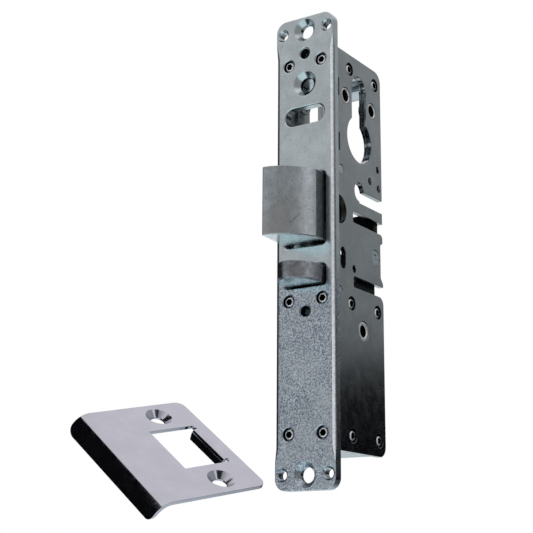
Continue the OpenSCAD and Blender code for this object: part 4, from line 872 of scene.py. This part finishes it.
class DEADLATCH_OT_strike(DeadlatchPiece, bpy.types.Operator):
    """The polished strike plate that lies beside the lock"""

    bl_idname = "deadlatch.strike"
    bl_label = "Strike plate"

    def execute(self, context):
        dress("strike_plate", "polished_stainless", sizes().strike_edge, 3)
        return {"FINISHED"}


# ---------------------------------------------------------------- stage

# level directions of the studio's surround
FRONT = (-0.559, -0.829, 0.0)
LEFT = (-0.864, 0.503, 0.0)
RIGHT = (1.0, 0.0, 0.0)


def studio_world():
    """White behind the object, and a soft studio surround in its reflections."""
    world = bpy.data.worlds.new("studio")
    bpy.context.scene.world = world
    world.use_nodes = True
    tree = world.node_tree
    tree.nodes.clear()
    ray = node(tree, "ShaderNodeLightPath")
    toward = node(tree, "ShaderNodeTexCoord").outputs["Generated"]
    height = axis(tree, toward, 2)
    flat = vector_maths(tree, "MULTIPLY", toward, (1.0, 1.0, 0.0)).outputs[0]
    level = node(tree, "ShaderNodeVectorMath", None, {0: flat}, operation="NORMALIZE").outputs[0]
    front = along(tree, level, FRONT)
    round_level = node(tree, "ShaderNodeValToRGB", None, {0: band(tree, front, -1.0, 1.0, smooth=False)})
    stops = round_level.color_ramp.elements
    stops[0].position, stops[0].color = 0.0, (0.42, 0.445, 0.455, 1.0)
    stops[1].position, stops[1].color = 0.985, (0.64, 0.655, 0.665, 1.0)
    for at, tone in ((0.5, 0.36), (0.8, 0.37), (0.94, 0.42)):
        stops.new(at).color = (tone, tone, tone * 1.01, 1.0)
    rear = band(tree, front, -0.2, -0.8)
    rising = band(tree, height, 0.145, 0.214)
    rear_dark = times(tree, rear, maths(tree, "SUBTRACT", 1.0, rising))
    rear_dark = times(tree, rear_dark, band(tree, height, -0.45, -0.22, 0.35, 1.0))
    left_dark = times(tree, band(tree, along(tree, level, LEFT), 0.68, 0.88), band(tree, height, 0.3, 0.6, 1.0, 0.0))
    rear_dim = times(tree, rear, band(tree, height, 0.2, 0.34, 0.25, 0.0))
    dark = maths(tree, "MAXIMUM", maths(tree, "MAXIMUM", rear_dark, rear_dim), left_dark)
    surround = mixed(tree, dark, round_level.outputs[0], (0.004, 0.004, 0.006))
    surround = mixed(tree, band(tree, along(tree, level, RIGHT), 0.95, 0.985), surround, (0.95, 0.96, 0.99))
    surround = mixed(tree, band(tree, height, 0.42, 0.8), surround, (0.98, 0.97, 1.0))
    behind = mixed(tree, ray.outputs["Is Camera Ray"], surround, (1.0, 1.0, 1.0))
    shown = maths(tree, "ADD", ray.outputs["Is Glossy Ray"], ray.outputs["Is Transmission Ray"])
    shown = maths(tree, "ADD", ray.outputs["Is Camera Ray"], shown)
    shown = maths(tree, "MINIMUM", shown, 1.0)
    light = mixed(tree, shown, (0.62, 0.64, 0.65), behind)
    background = node(tree, "ShaderNodeBackground", {"Strength": 1.0}, {"Color": light})
    node(tree, "ShaderNodeOutputWorld", None, {"Surface": background.outputs[0]})


def floor_finish():
    """A plain pale floor, faintly uneven."""
    made = bpy.data.materials.new("pale_floor")
    made.use_nodes = True
    tree = made.node_tree
    tree.nodes.clear()
    place = node(tree, "ShaderNodeTexCoord").outputs["Object"]
    tone = tuple(colours().floor)
    cloud = band(tree, grain(tree, place, 0.12, 3.0), 0.3, 0.7)
    colour = mixed(tree, cloud, shade(tone, 0.97), tone)
    shader = node(tree, "ShaderNodeBsdfPrincipled", {"Roughness": 0.7}, {"Base Color": colour})
    ray = node(tree, "ShaderNodeLightPath")
    mirrored = maths(tree, "MAXIMUM", ray.outputs["Is Glossy Ray"], ray.outputs["Is Transmission Ray"])
    glow = mixed(tree, band(tree, axis(tree, place, 1), -0.12, 0.1), (0.88, 1.06, 1.1), (0.76, 0.84, 0.88))
    away = along(tree, place, (0.9, 0.4, 0.0))
    glow = mixed(tree, band(tree, away, 0.02, 0.18), glow, (0.12, 0.125, 0.13))
    shine = node(tree, "ShaderNodeEmission", None, {"Color": glow})
    both_ways = node(tree, "ShaderNodeMixShader", None, {0: mirrored, 1: shader.outputs[0], 2: shine.outputs[0]})
    spread = node(tree, "ShaderNodeVectorMath", None, {0: place}, operation="LENGTH")
    fading = times(tree, ray.outputs["Is Camera Ray"], band(tree, spread.outputs["Value"], 0.3, 0.62))
    backdrop = node(tree, "ShaderNodeEmission", {"Color": (1.0, 1.0, 1.0, 1.0), "Strength": 1.0})
    faded = node(tree, "ShaderNodeMixShader", None, {0: fading, 1: both_ways.outputs[0], 2: backdrop.outputs[0]})
    node(tree, "ShaderNodeOutputMaterial", None, {"Surface": faded.outputs[0]})
    return made


def flag_finish():
    """The black cloth of a studio flag."""
    made = bpy.data.materials.new("black_flag")
    made.use_nodes = True
    shader = made.node_tree.nodes["Principled BSDF"]
    shader.inputs["Base Color"].default_value = (0.004, 0.004, 0.005, 1.0)
    shader.inputs["Roughness"].default_value = 1.0
    shader.inputs["Specular IOR Level"].default_value = 0.0
    return made


def flat_card(name, centre, half_u, half_v, finish):
    """A flat stage piece, from its centre and its two half sides."""
    bm = bmesh.new()
    bmesh.ops.create_grid(bm, x_segments=1, y_segments=1, size=1.0)
    u, v = Vector(half_u), Vector(half_v)
    turn = Matrix((u, v, u.cross(v))).transposed().to_4x4()
    bmesh.ops.transform(bm, matrix=Matrix.Translation(centre) @ turn, verts=bm.verts)
    mesh = bpy.data.meshes.new(name)
    bm.to_mesh(mesh)
    bm.free()
    mesh.materials.append(finish)
    made = bpy.data.objects.new(name, mesh)
    bpy.context.scene.collection.objects.link(made)
    return made


def soft_light(name, at, towards, width, tall, power, colour=(1.0, 1.0, 1.0)):
    """A soft box that faces a point."""
    data = bpy.data.lights.new(name, "AREA")
    data.shape, data.size, data.size_y, data.energy, data.color = "RECTANGLE", width, tall, power, colour
    made = bpy.data.objects.new(name, data)
    bpy.context.scene.collection.objects.link(made)
    made.location = at
    made.rotation_mode = "QUATERNION"
    made.rotation_quaternion = (Vector(towards) - Vector(at)).to_track_quat("-Z", "Y")
    made.visible_glossy = False
    return made


# the photograph's camera: place in metres, direction, roll in degrees, lens and sensor in millimetres
CAMERA_AT = (0.22510, -0.36024, -0.11493)
CAMERA_FORWARD = (-0.5429, 0.8035, 0.2442)
CAMERA_ROLL = 0.397
CAMERA_LENS, CAMERA_SENSOR = 84.56, 36.0


class DEADLATCH_OT_stage(bpy.types.Operator):
    """The camera at the photograph's angle, the pale floor, the studio world and its soft boxes"""

    bl_idname = "deadlatch.stage"
    bl_label = "Stage and camera"

    def execute(self, context):
        scene = context.scene
        scene.view_settings.view_transform = "Standard"
        studio_world()
        flat_card("floor", (-0.62, 0.0, -0.2), (0.98, 0.0, 0.0), (0.0, 1.6, 0.0), floor_finish())
        flag = flat_card("flag", (-0.188, -0.0265, -0.03), (-0.060, 0.083, 0.0), (0.0, 0.0, 0.169), flag_finish())
        flag.visible_camera = False
        flag.visible_diffuse = False
        flag.visible_shadow = False
        soft_light("key_box", (-0.55, -0.75, 0.75), (0.0, 0.0, 0.0), 0.5, 0.5, 7.0)
        soft_light("top_box", (0.15, 0.25, 0.95), (0.0, 0.0, 0.0), 0.6, 0.6, 5.0)
        data = bpy.data.cameras.new("camera")
        data.lens, data.sensor_width = CAMERA_LENS, CAMERA_SENSOR
        data.clip_start, data.clip_end = 0.01, 20.0
        eye = bpy.data.objects.new("camera", data)
        scene.collection.objects.link(eye)
        eye.location = CAMERA_AT
        eye.rotation_mode = "QUATERNION"
        forward = Vector(CAMERA_FORWARD)
        turn = Quaternion((0.0, 0.0, 1.0), math.radians(CAMERA_ROLL))
        eye.rotation_quaternion = forward.to_track_quat("-Z", "Y") @ turn
        scene.camera = eye
        return {"FINISHED"}


OPERATORS = (
    DEADLATCH_OT_stage,
    DEADLATCH_OT_faceplate,
    DEADLATCH_OT_side_plates,
    DEADLATCH_OT_spacers,
    DEADLATCH_OT_screws,
    DEADLATCH_OT_fittings,
    DEADLATCH_OT_latch,
    DEADLATCH_OT_retractor,
    DEADLATCH_OT_auxiliary,
    DEADLATCH_OT_deadlock,
    DEADLATCH_OT_springs,
    DEADLATCH_OT_strike,
)


class DEADLATCH_PT_pieces(bpy.types.Panel):
    """Lists the deadlatch's pieces, sizes and colours"""

    bl_idname = "DEADLATCH_PT_pieces"
    bl_label = "Mortise deadlatch"
    bl_space_type = "VIEW_3D"
    bl_region_type = "UI"
    bl_category = "Deadlatch"

    def draw(self, context):
        for made in OPERATORS:
            self.layout.operator(made.bl_idname)
        for group in (context.scene.deadlatch_sizes, context.scene.deadlatch_colours):
            box = self.layout.box()
            for key in group.bl_rna.properties.keys():
                if key not in ("rna_type", "name"):
                    box.prop(group, key)


CLASSES = (DeadlatchSizes, DeadlatchColours, *OPERATORS, DEADLATCH_PT_pieces)


def register():
    for made in CLASSES:
        bpy.utils.register_class(made)
    bpy.types.Scene.deadlatch_sizes = PointerProperty(type=DeadlatchSizes)
    bpy.types.Scene.deadlatch_colours = PointerProperty(type=DeadlatchColours)


def unregister():
    del bpy.types.Scene.deadlatch_colours
    del bpy.types.Scene.deadlatch_sizes
    for made in reversed(CLASSES):
        bpy.utils.unregister_class(made)


def main():
    register()
    bpy.ops.deadlatch.stage()
    bpy.ops.deadlatch.faceplate()
    bpy.ops.deadlatch.side_plates()
    bpy.ops.deadlatch.spacers()
    bpy.ops.deadlatch.screws()
    bpy.ops.deadlatch.fittings()
    bpy.ops.deadlatch.latch()
    bpy.ops.deadlatch.retractor()
    bpy.ops.deadlatch.auxiliary()
    bpy.ops.deadlatch.deadlock()
    bpy.ops.deadlatch.springs()
    bpy.ops.deadlatch.strike()


if __name__ == "__main__":
    main()
